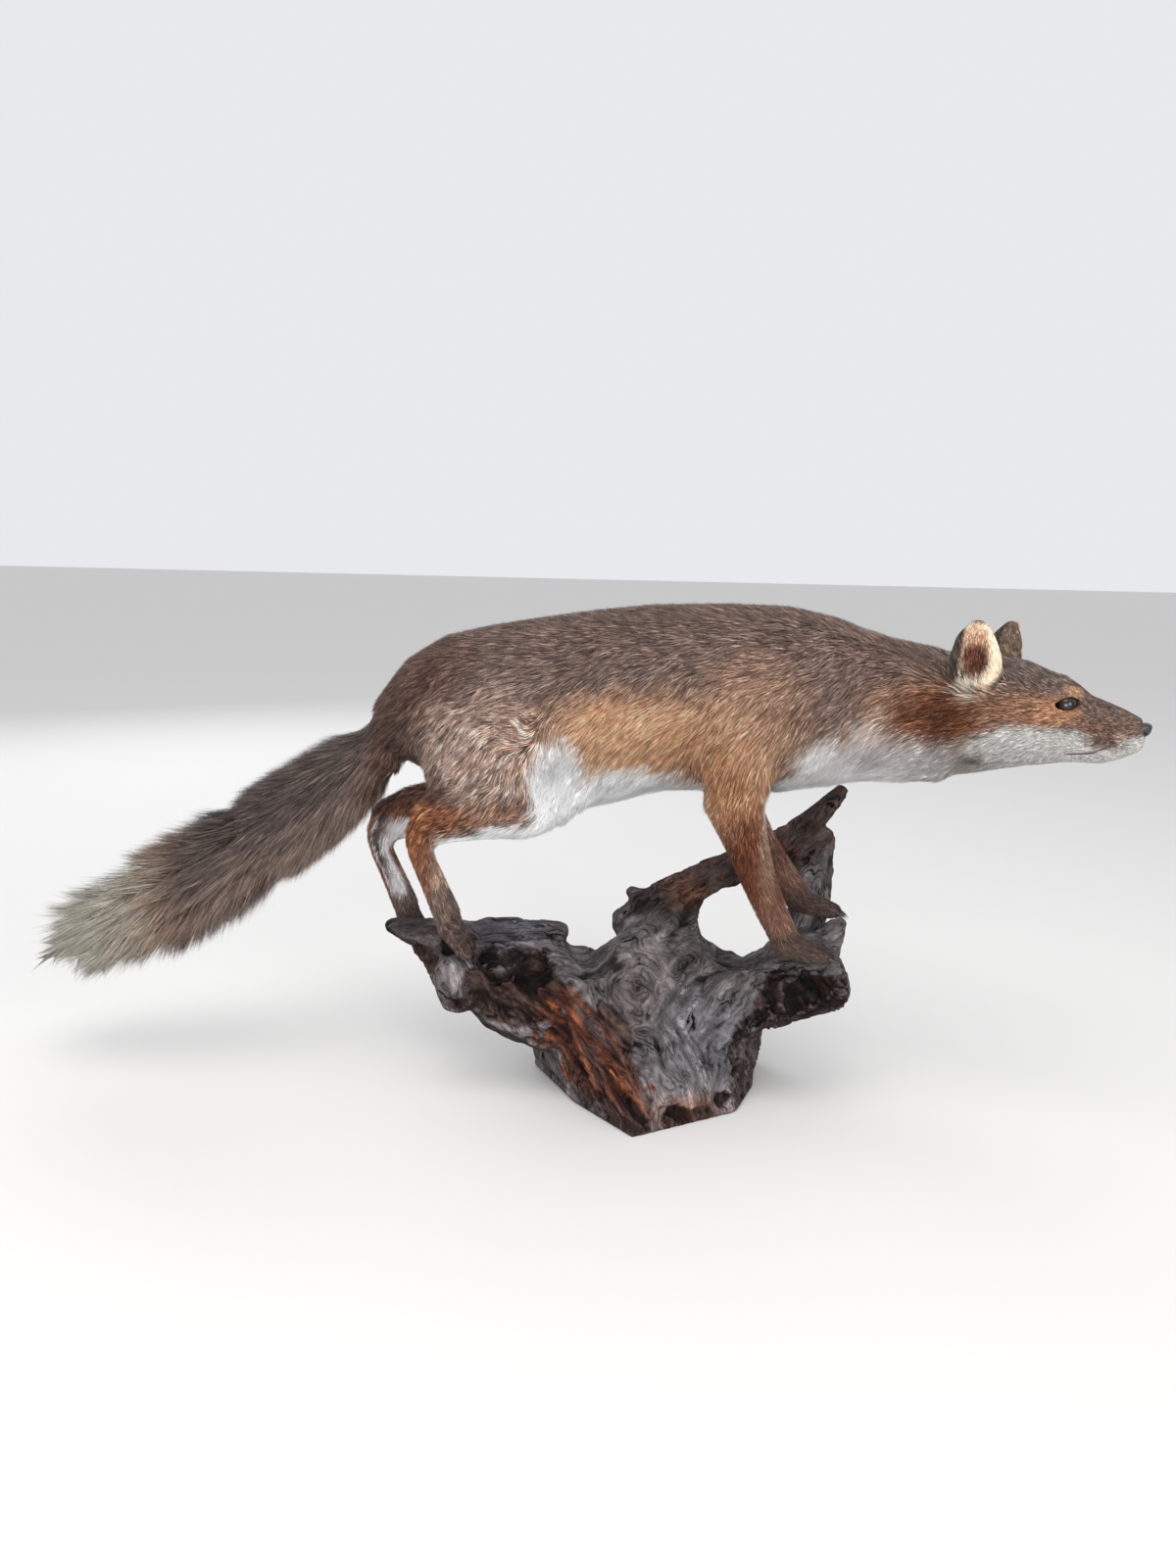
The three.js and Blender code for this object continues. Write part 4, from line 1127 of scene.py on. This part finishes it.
claws = build("claws", np.concatenate(claw_points), np.concatenate(claw_faces))
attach(claws, "root")
print("claws", len(claw_faces))

# %% [markdown]
# ## The root
# Years of weather have left the root grey and worn along its grain. The grain runs along each
# limb and flows round a knot in the dish. The broken faces are rusty and fibrous. Cracks, holes
# and hollows are painted nearly black as painted shade, and faces turned up are painted lighter
# and faces turned down darker, as painted light and shade. The even mesh of the solid is carved
# with grain, cracks, broken faces and hollows, mostly inwards.

# %% Lie of the fibres
WOOD_STEP = 1.8
FIBRES = unit(np.array([0.62, -0.36, -0.7]))
KNOT = np.array([-10.0, -55.0, 117.0])
BEAM = [(10, 56, 152), (58, 70, 181), (134, 84, 220), (188, 88, 270)]
FIBRE_STROKES = [
    ((-120, -10, 142), (1, 0, 0)), ((-70, 10, 130), (1, 0, -0.3)), ((-215, 12, 140), (1, 0, 0.05)),
    ((-190, -40, 120), (0.5, 0, -1)), ((-110, -70, 90), (0.75, 0, -0.65)),
    ((-60, -85, 60), (0.62, -0.3, -0.72)), ((-20, -95, 30), (0.55, -0.3, -0.78)),
    ((-40, -20, 150), (0.8, 0.2, 0.6)), ((0, 20, 150), (0.75, 0.3, 0.6)),
    ((20, -85, 55), (0.45, 0, -0.9)), ((70, -60, 95), (0.6, 0, 0.8)),
    ((92, -50, 40), (0.25, 0, 0.97)), ((60, -60, 130), (0.9, 0, 0.45)),
    ((130, -40, 138), (1, 0, 0.1)), ((165, -10, 110), (0.9, 0, 0.3)),
    ((40, 64, 170), (0.85, 0.3, 0.5)), ((96, 78, 200), (0.86, 0.2, 0.46)),
    ((160, 86, 240), (0.7, 0.1, 0.75)), ((160, 84, 170), (0.1, 0, 1)),
    ((0, 80, 60), (0.12, -0.1, 1)), ((-70, 66, 60), (-0.4, 0, 1)), ((70, 70, 60), (0.35, 0, 1)),
    ((-140, 40, 110), (1, 0, -0.15)), ((140, 50, 100), (1, 0, 0.15)), ((100, 0, 40), (0.1, 0.1, 1)),
    ((-90, 30, 50), (-0.5, 0, 1)),
]
FIBRE_REACH, KNOT_PULL, KNOT_REACH = 300, 0.9e-6, 26
STRICT, ACROSS = 6, 0.006  # how sharply evening keeps to the fibres, and the little that crosses
p, _, f = welded("stand_root")
wood, wood_faces, wood_edges = read(remeshed("root", p, f, WOOD_STEP))
wood = evened(wood, wood_edges, 6, 0.5)
wood_normals = unit(evened(normals_of(wood, wood_faces), wood_edges, 3))
lie = np.zeros((len(wood), 3, 3))
for at, along in FIBRE_STROKES:
    along = unit(np.array(along, float))
    lie += nearness(wood, at, FIBRE_REACH)[:, :, None] * np.outer(along, along)
to_knot = (wood - KNOT) * (1.0, 0.6, 0.8)
round_knot = unit(np.cross(wood_normals, to_knot) + 0.01)
from_knot = np.linalg.norm(to_knot * (1.25, 1, 0.9), axis=1)
from_knot = from_knot + 6 * noise(wood, 15, 71) + 2.5 * noise(wood, 6, 70)
near_knot = KNOT_PULL * ease(3, 14, from_knot) * np.exp(-((from_knot / 40) ** 2))
lie += near_knot[:, None, None] * round_knot[:, :, None] * round_knot[:, None, :]
fibres = laid_flat(np.linalg.eigh(lie)[1][:, :, 2], wood_normals)
print("root", len(wood_faces), "triangles", len(FIBRE_STROKES), "strokes of grain")


# %% Chance values drawn out along the fibres
def along_fibres(values, rounds):
    """Values on the wood, evened along its fibres and hardly across them, with a spread of 1."""
    a, b = wood_edges.T
    count, step = len(wood), unit(wood[b] - wood[a])
    pull = np.abs((step * fibres[a]).sum(1)) ** STRICT + np.abs((step * fibres[b]).sum(1)) ** STRICT
    pull = pull + ACROSS
    total = np.bincount(a, pull, count) + np.bincount(b, pull, count)
    for _ in range(rounds):
        met = np.bincount(a, pull * values[b], count) + np.bincount(b, pull * values[a], count)
        values = 0.3 * values + 0.7 * met / total
    return (values - values.mean()) / values.std()


def scattered(rounds):
    """Chance values on the wood, evened in all directions for some rounds."""
    return evened(chance.standard_normal(len(wood))[:, None], wood_edges, rounds)[:, 0]


fine = along_fibres(scattered(0), 16)
middling = along_fibres(scattered(1), 90)
coarse = along_fibres(scattered(3), 170)
ringed = np.exp(-((from_knot / KNOT_REACH) ** 2))
middling, coarse = middling * (1 - 0.85 * ringed), coarse * (1 - 0.9 * ringed)
print("points by the knot", int((ringed > 0.5).sum()))


# %% Broken and hollow places
def from_line(points, line):
    """The shortest way from each point to a bent line."""
    ways = []
    for a, b in zip(np.array(line[:-1], float), np.array(line[1:], float)):
        t = np.clip((points - a) @ (b - a) / ((b - a) @ (b - a)), 0, 1)
        ways.append(np.linalg.norm(points - a - t[:, None] * (b - a), axis=1))
    return np.min(ways, axis=0)


def worn_by(points, spots, ragged, lump, seed):
    """1 within any of the soft balls, given as centre and reach, and 0 away from them."""
    share = np.zeros(len(points))
    for centre, reach in spots:
        far = np.linalg.norm((points - centre) / reach, axis=1)
        share = np.maximum(share, 1 - ease(0.92, 1.04, far + ragged * rough(points, lump, seed)))
    return share


BROKEN = [
    ((-66, -86, 56), (62, 46, 52)), ((-118, -60, 100), (56, 32, 34)),
    ((136, -62, 96), (56, 36, 36)), ((100, -36, 40), (28, 50, 52)), ((-30, -112, 26), (44, 36, 40)),
    ((-100, -50, 142), (34, 30, 22)), ((30, -84, 4), (34, 30, 9)), ((-200, 0, 118), (36, 50, 14)),
]
HOLLOW = [
    ((-134, -50, 136), (25, 31, 23)), ((-108, -58, 126), (21, 29, 19)),
    ((126, -78, 111), (42, 42, 28)), ((-104, -106, 50), (34, 46, 26)),
]
PITS = [
    ((92, -58, 62), (10, 14, 8)), ((86, -62, 34), (12, 12, 9)), ((70, -72, 14), (9, 12, 8)),
    ((100, -44, 84), (8, 16, 10)), ((-60, -96, 74), (9, 9, 8)), ((22, -92, 12), (12, 10, 7)),
    ((64, 20, 132), (10, 12, 8)), ((30, -92, 8), (8, 9, 7)),
]
broken = worn_by(wood, BROKEN, 0.24, 14, 81)
hollow = np.maximum(worn_by(wood, HOLLOW, 0.3, 8, 93), worn_by(wood, PITS, 0.4, 5, 94))
print("broken share", broken.mean().round(2), "hollow share", hollow.mean().round(2))

# %% Carve the root
cracks = ease(1.3, 1.9, middling + 0.25 * fine) * ease(-0.5, 0.1, noise(wood, 15, 74))
cracks *= ease(4, 20, from_knot)
DRAWN_TOGETHER = 0.82  # of each place's way along the fibres, so that noise is drawn out there
fibre = wood - DRAWN_TOGETHER * (wood @ FIBRES)[:, None] * FIBRES
splinters = np.abs(noise(fibre, 3.4, 75)) + 0.5 * np.abs(noise(fibre, 1.9, 76))
holes = ease(0.22, 0.7, rough(fibre, 9, 85)) * np.maximum(broken, 0.8 * hollow)
grain = np.clip(0.5 + 0.3 * fine + 0.34 * middling, 0, 1.5)
grain *= 0.45 + 0.55 * ease(-0.6, 0.5, noise(wood, 20, 72))
GRAIN_DEEP, CRACK_DEEP, SPLINTER_DEEP, CHIP_DEEP = 0.9, 2.6, 2.8, 1.8
HOLE_DEEP, HOLLOW_DEEP = 4.8, 4.2
carved = GRAIN_DEEP * grain * (1 - 0.5 * broken) + CRACK_DEEP * cracks * (1 - 0.5 * broken)
chips = CHIP_DEEP * (0.5 + 0.5 * rough(wood, 6, 83))
carved += broken * (SPLINTER_DEEP * splinters + chips) + HOLE_DEEP * holes
waves = 1.6 * ease(0.0, 0.8, rough(wood, 24, 84)) + 1.1 * ease(-0.1, 0.7, rough(fibre, 7, 86))
carved += waves + HOLLOW_DEEP * hollow
over_foot = ease(2, 8, wood[:, 2])
wood = wood - wood_normals * (carved * over_foot)[:, None]
wood_normals = normals_of(wood, wood_faces)
print("carved up to", round(float(carved.max()), 1), "mm")

# %% Colour of the wood
# The second grey is the first in painted shade.
ASH, SHADED_ASH, EARTH = paint(105, 98, 99), paint(56, 49, 49), paint(64, 47, 40)
# The last colour is the black of painted shade in cracks, holes and hollows.
ORANGE_ROT, RED_ROT, SHADE_BLACK = paint(158, 86, 46), paint(78, 40, 28), paint(15, 12, 12)
WOOD_PATCHES = [
    ((60, -46, 130), (36, 50, 26), paint(60, 51, 49), 0.8, 0.5),
    ((-8, -55, 108), (36, 40, 32), paint(94, 84, 82), 0.6, 0.5),
    ((56, -70, 66), (46, 60, 44), paint(102, 102, 106), 0.65, 0.5),
    ((22, 30, 150), (36, 40, 20), paint(70, 64, 64), 0.6, 0.5),
    ((-214, 0, 134), (44, 60, 16), paint(74, 62, 60), 0.7, 0.5),
    ((-128, 0, 146), (46, 60, 16), paint(102, 100, 106), 0.7, 0.5),
    ((44, -96, 12), (44, 30, 12), paint(138, 98, 80), 0.6, 0.8),
    ((36, 62, 172), (16, 30, 11), paint(150, 98, 70), 0.55, 0.7),
]
x, _, z = wood.T
upward = wood_normals[:, 2]
# Painted light and shade: faces turned up and to the front get the light grey, faces turned down
# the shaded grey.
painted_top_light = ease(-0.5, 0.6, upward - 0.25 * wood_normals[:, 1])
shade = tinged(SHADED_ASH, 0.25 + 0.75 * painted_top_light, ASH)
beam = 1 - ease(26, 40, from_line(wood, BEAM))
beam_red = tinged(EARTH * 0.8, ease(0.1, 0.7, rough(wood, 10, 92)), RED_ROT)
shade = tinged(shade, 0.8 * beam, beam_red)
shade = laid_over(shade, wood, WOOD_PATCHES, 3.0 * rough(wood, 10, 100))
# Darker along the grain where it is carved deeper: grain tone, and painted shade in the grooves.
shade *= np.exp(-0.24 * fine - 0.16 * middling - 0.05 * coarse)[:, None]
orange = broken * ease(0.0, 0.6, rough(fibre, 20, 91) + 0.6) * (x < 30) * ease(6, 22, z)
orange *= ease(-1.0, 0.1, upward + 0.3 * rough(wood, 30, 98))
orange *= ease(-114, -92, x + 0.25 * (105 - z)) * (1 - ease(100, 118, z)) * (1 - hollow)
brown = np.clip(broken - orange, 0, 1) * (0.85 - 0.35 * ease(40, 80, x))
shade = tinged(shade, brown, EARTH * (1 + 0.5 * rough(fibre, 5, 95))[:, None])
rust = tinged(RED_ROT, ease(-0.3, 0.7, rough(fibre, 6, 96)), ORANGE_ROT)
shade = tinged(shade, 0.9 * orange, rust * np.exp(-0.2 * fine)[:, None])
# Painted shade in the cracks.
shade = tinged(shade, 0.85 * cracks, SHADE_BLACK)
# Dark red rot, darkened as painted shade in the splinter grooves of broken faces.
shade = tinged(shade, 0.7 * broken * ease(0.2, 0.75, splinters), RED_ROT * 0.3)
# Painted shade in the hollows, nearly black with a little red rot.
deep = SHADE_BLACK + 0.3 * ease(0.1, 0.7, rough(wood, 9, 97))[:, None] * RED_ROT
shade = tinged(shade, 0.92 * hollow, deep)
# Painted shade in the holes of the broken faces.
shade = tinged(shade, 0.85 * holes, SHADE_BLACK)
# Painted shade on faces turned down.
shade = tinged(shade, 0.7 * ease(-0.2, -0.8, upward), EARTH * 0.5)
shade *= (1 + 0.18 * rough(wood, 5, 94) + 0.22 * rough(wood, 26, 99))[:, None]
print("wood, mean colour in linear light", shade.mean(0).round(3))

# %% Build the root
root_piece = build("driftwood_root", wood, wood_faces)
stream = 4.6 * coarse + 3.4 * middling + 0.9 * fine + 1.3 * ringed * from_knot
layer = root_piece.data.attributes.new("Stream", "FLOAT", "POINT")
layer.data.foreach_set("value", stream.astype(np.float32))
put_colours(root_piece, np.clip(shade, 0.004, 1))
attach(root_piece, "root")
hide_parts("stand_root")
print("stream from", stream.min().round(1), "to", stream.max().round(1))

# %% [markdown]
# ## Finishes
# Skin, coat and wood keep their colours with their points. Two groups of nodes add what is finer
# than the mesh, a colour and a height for the bump each. Every finish places the first with its
# own values, and the wood the second too.

# %% Helpers for groups of nodes
def new_group(name, **numbers):
    """A group that takes a colour and the given numbers, and gives a colour and a height."""
    group = bpy.data.node_groups.new(name, "ShaderNodeTree")
    new_socket = group.interface.new_socket
    colour = new_socket("Colour", in_out="INPUT", socket_type="NodeSocketColor")
    colour.default_value = (1, 1, 1, 1)
    for socket, value in numbers.items():
        new_socket(socket, in_out="INPUT", socket_type="NodeSocketFloat").default_value = value
    new_socket("Colour", in_out="OUTPUT", socket_type="NodeSocketColor")
    new_socket("Height", in_out="OUTPUT", socket_type="NodeSocketFloat")
    return group


def feed(socket, value):
    """Give a socket either a number or what another node gives out."""
    if isinstance(value, (int, float)):
        socket.default_value = value
    else:
        links.new(value, socket)


def reckon(operation, *values, kind="ShaderNodeMath"):
    """What a node of arithmetic gives for its values."""
    node = nodes.new(kind)
    node.operation = operation
    for socket, value in zip(node.inputs, values):
        feed(socket, value)
    return node.outputs[0]


def lumps(scale, detail):
    """Noise from 0 to 1 over the object."""
    place, texture = nodes.new("ShaderNodeTexCoord"), nodes.new("ShaderNodeTexNoise")
    texture.inputs["Detail"].default_value = detail
    links.new(place.outputs["Object"], texture.inputs["Vector"])
    feed(texture.inputs["Scale"], scale)
    return texture.outputs["Fac"]


def waves_of(turns, power):
    """Waves from 0 to 1, one for each turn, with tops as wide as the power is low."""
    wave = reckon("SINE", reckon("MULTIPLY", turns, 2 * math.pi))
    return reckon("POWER", reckon("MULTIPLY_ADD", wave, 0.5, 0.5), power)


def give_out(factor, height):
    """Let the group give its colour times the factor, and the height."""
    shaded = reckon("MULTIPLY", given["Colour"], factor, kind="ShaderNodeVectorMath")
    result = nodes.new("NodeGroupOutput")
    links.new(shaded, result.inputs["Colour"])
    links.new(height, result.inputs["Height"])


# %% A group for fine streaks
streaks = new_group("Fine streaks", Size=1000.0, Contrast=0.2)
nodes, links = streaks.nodes, streaks.links
given = nodes.new("NodeGroupInput").outputs
grit = lumps(given["Size"], 3.0)
give_out(reckon("MULTIPLY_ADD", reckon("SUBTRACT", grit, 0.5), given["Contrast"], 1.0), grit)
print(streaks.name, len(nodes), "nodes")

# %% A group for lines of grain
DRIFT_SCALE, PATCHY_SCALE = 90.0, 55.0
grain_lines = new_group("Grain lines", Place=0.0, Spacing=4.0, Depth=2.2)
nodes, links = grain_lines.nodes, grain_lines.links
given = nodes.new("NodeGroupInput").outputs
drift = lumps(DRIFT_SCALE, 3.0)
turns = reckon("ADD", reckon("DIVIDE", given["Place"], given["Spacing"]),
               reckon("MULTIPLY", drift, 2.2))
finer_turns = reckon("ADD", reckon("MULTIPLY", turns, 3.3), reckon("MULTIPLY", drift, 2.0))
finer = reckon("MULTIPLY_ADD", waves_of(finer_turns, 0.7), 0.45, 0.55)
line = reckon("MULTIPLY", waves_of(turns, 0.5), finer)
strength = reckon("MULTIPLY", given["Depth"], reckon("POWER", lumps(PATCHY_SCALE, 2.0), 1.8))
darkening = reckon("MULTIPLY", reckon("SUBTRACT", 1.0, line), strength)
give_out(reckon("SUBTRACT", 1.0, darkening), line)
print(grain_lines.name, len(nodes), "nodes")

# %% Place them in each finish
BUMP_STRENGTH = 0.8


def finish(name, pieces, roughness, size, contrast, bump, spacing=None, **constants):
    """A material from the pieces' own colours, the streaks and, with a spacing, the grain lines."""
    made = bpy.data.materials.new(name)
    made.use_nodes = True
    nodes, links = made.node_tree.nodes, made.node_tree.links
    shader = nodes["Principled BSDF"]
    shader.inputs["Roughness"].default_value = roughness
    for socket, value in constants.items():
        shader.inputs[socket.replace("_", " ")].default_value = value
    tint = nodes.new("ShaderNodeAttribute")
    tint.attribute_name = "Tint"
    group = nodes.new("ShaderNodeGroup")
    group.node_tree = streaks
    group.inputs["Size"].default_value = size
    group.inputs["Contrast"].default_value = contrast
    colour, height = tint.outputs["Color"], group.outputs["Height"]
    if spacing:
        stream_of = nodes.new("ShaderNodeAttribute")
        stream_of.attribute_name = "Stream"
        grain_of = nodes.new("ShaderNodeGroup")
        grain_of.node_tree = grain_lines
        grain_of.inputs["Spacing"].default_value = spacing
        links.new(colour, grain_of.inputs["Colour"])
        links.new(stream_of.outputs["Fac"], grain_of.inputs["Place"])
        colour = grain_of.outputs["Colour"]
        both = nodes.new("ShaderNodeMath")
        both.operation = "ADD"
        links.new(height, both.inputs[0])
        links.new(grain_of.outputs["Height"], both.inputs[1])
        height = both.outputs[0]
    links.new(colour, group.inputs["Colour"])
    links.new(group.outputs["Colour"], shader.inputs["Base Color"])
    if bump:
        relief = nodes.new("ShaderNodeBump")
        relief.inputs["Distance"].default_value = bump * MM
        relief.inputs["Strength"].default_value = BUMP_STRENGTH
        links.new(height, relief.inputs["Height"])
        links.new(relief.outputs["Normal"], shader.inputs["Normal"])
    for piece in pieces:
        piece.data.materials.append(made)
    print(name, "on", len(pieces), "pieces")


# name, pieces, roughness, size and contrast of the streaks, bump, spacing of the grain lines
finish("coat_hair", coat, 0.58, 900, 0.5, 0, Specular_IOR_Level=0.32)
finish("skin_hair", [skin], 0.8, 700, 0.7, 0.6, Specular_IOR_Level=0.2)
finish("weathered_wood", [root_piece], 0.9, 420, 0.8, 1.0, 4.2, Specular_IOR_Level=0.12)
finish("wet_nose", [nose], 0.38, 1500, 0.3, 0.15, Specular_IOR_Level=0.5)
finish("eye_glass", list(eyes.values()), 0.05, 2000, 0.1, 0, Specular_IOR_Level=0.45)
for piece, colour in ((lips, paint(52, 26, 22)), (claws, paint(46, 38, 32))):
    put_colours(piece, np.tile(colour, (len(piece.data.vertices), 1)))
finish("lip_skin", [lips], 0.45, 900, 0.4, 0.1)
finish("claw_horn", [claws], 0.35, 700, 0.4, 0.1)

# %% Plain finishes under the pieces
UNDER_BROWN = (0.2, 0.16, 0.13, 1)
for name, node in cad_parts.items():
    under = bpy.data.materials.new("under_" + name)
    under.use_nodes = True
    under.node_tree.nodes["Principled BSDF"].inputs["Base Color"].default_value = UNDER_BROWN
    node.data.materials.clear()
    node.data.materials.append(under)
print("materials", len(bpy.data.materials))
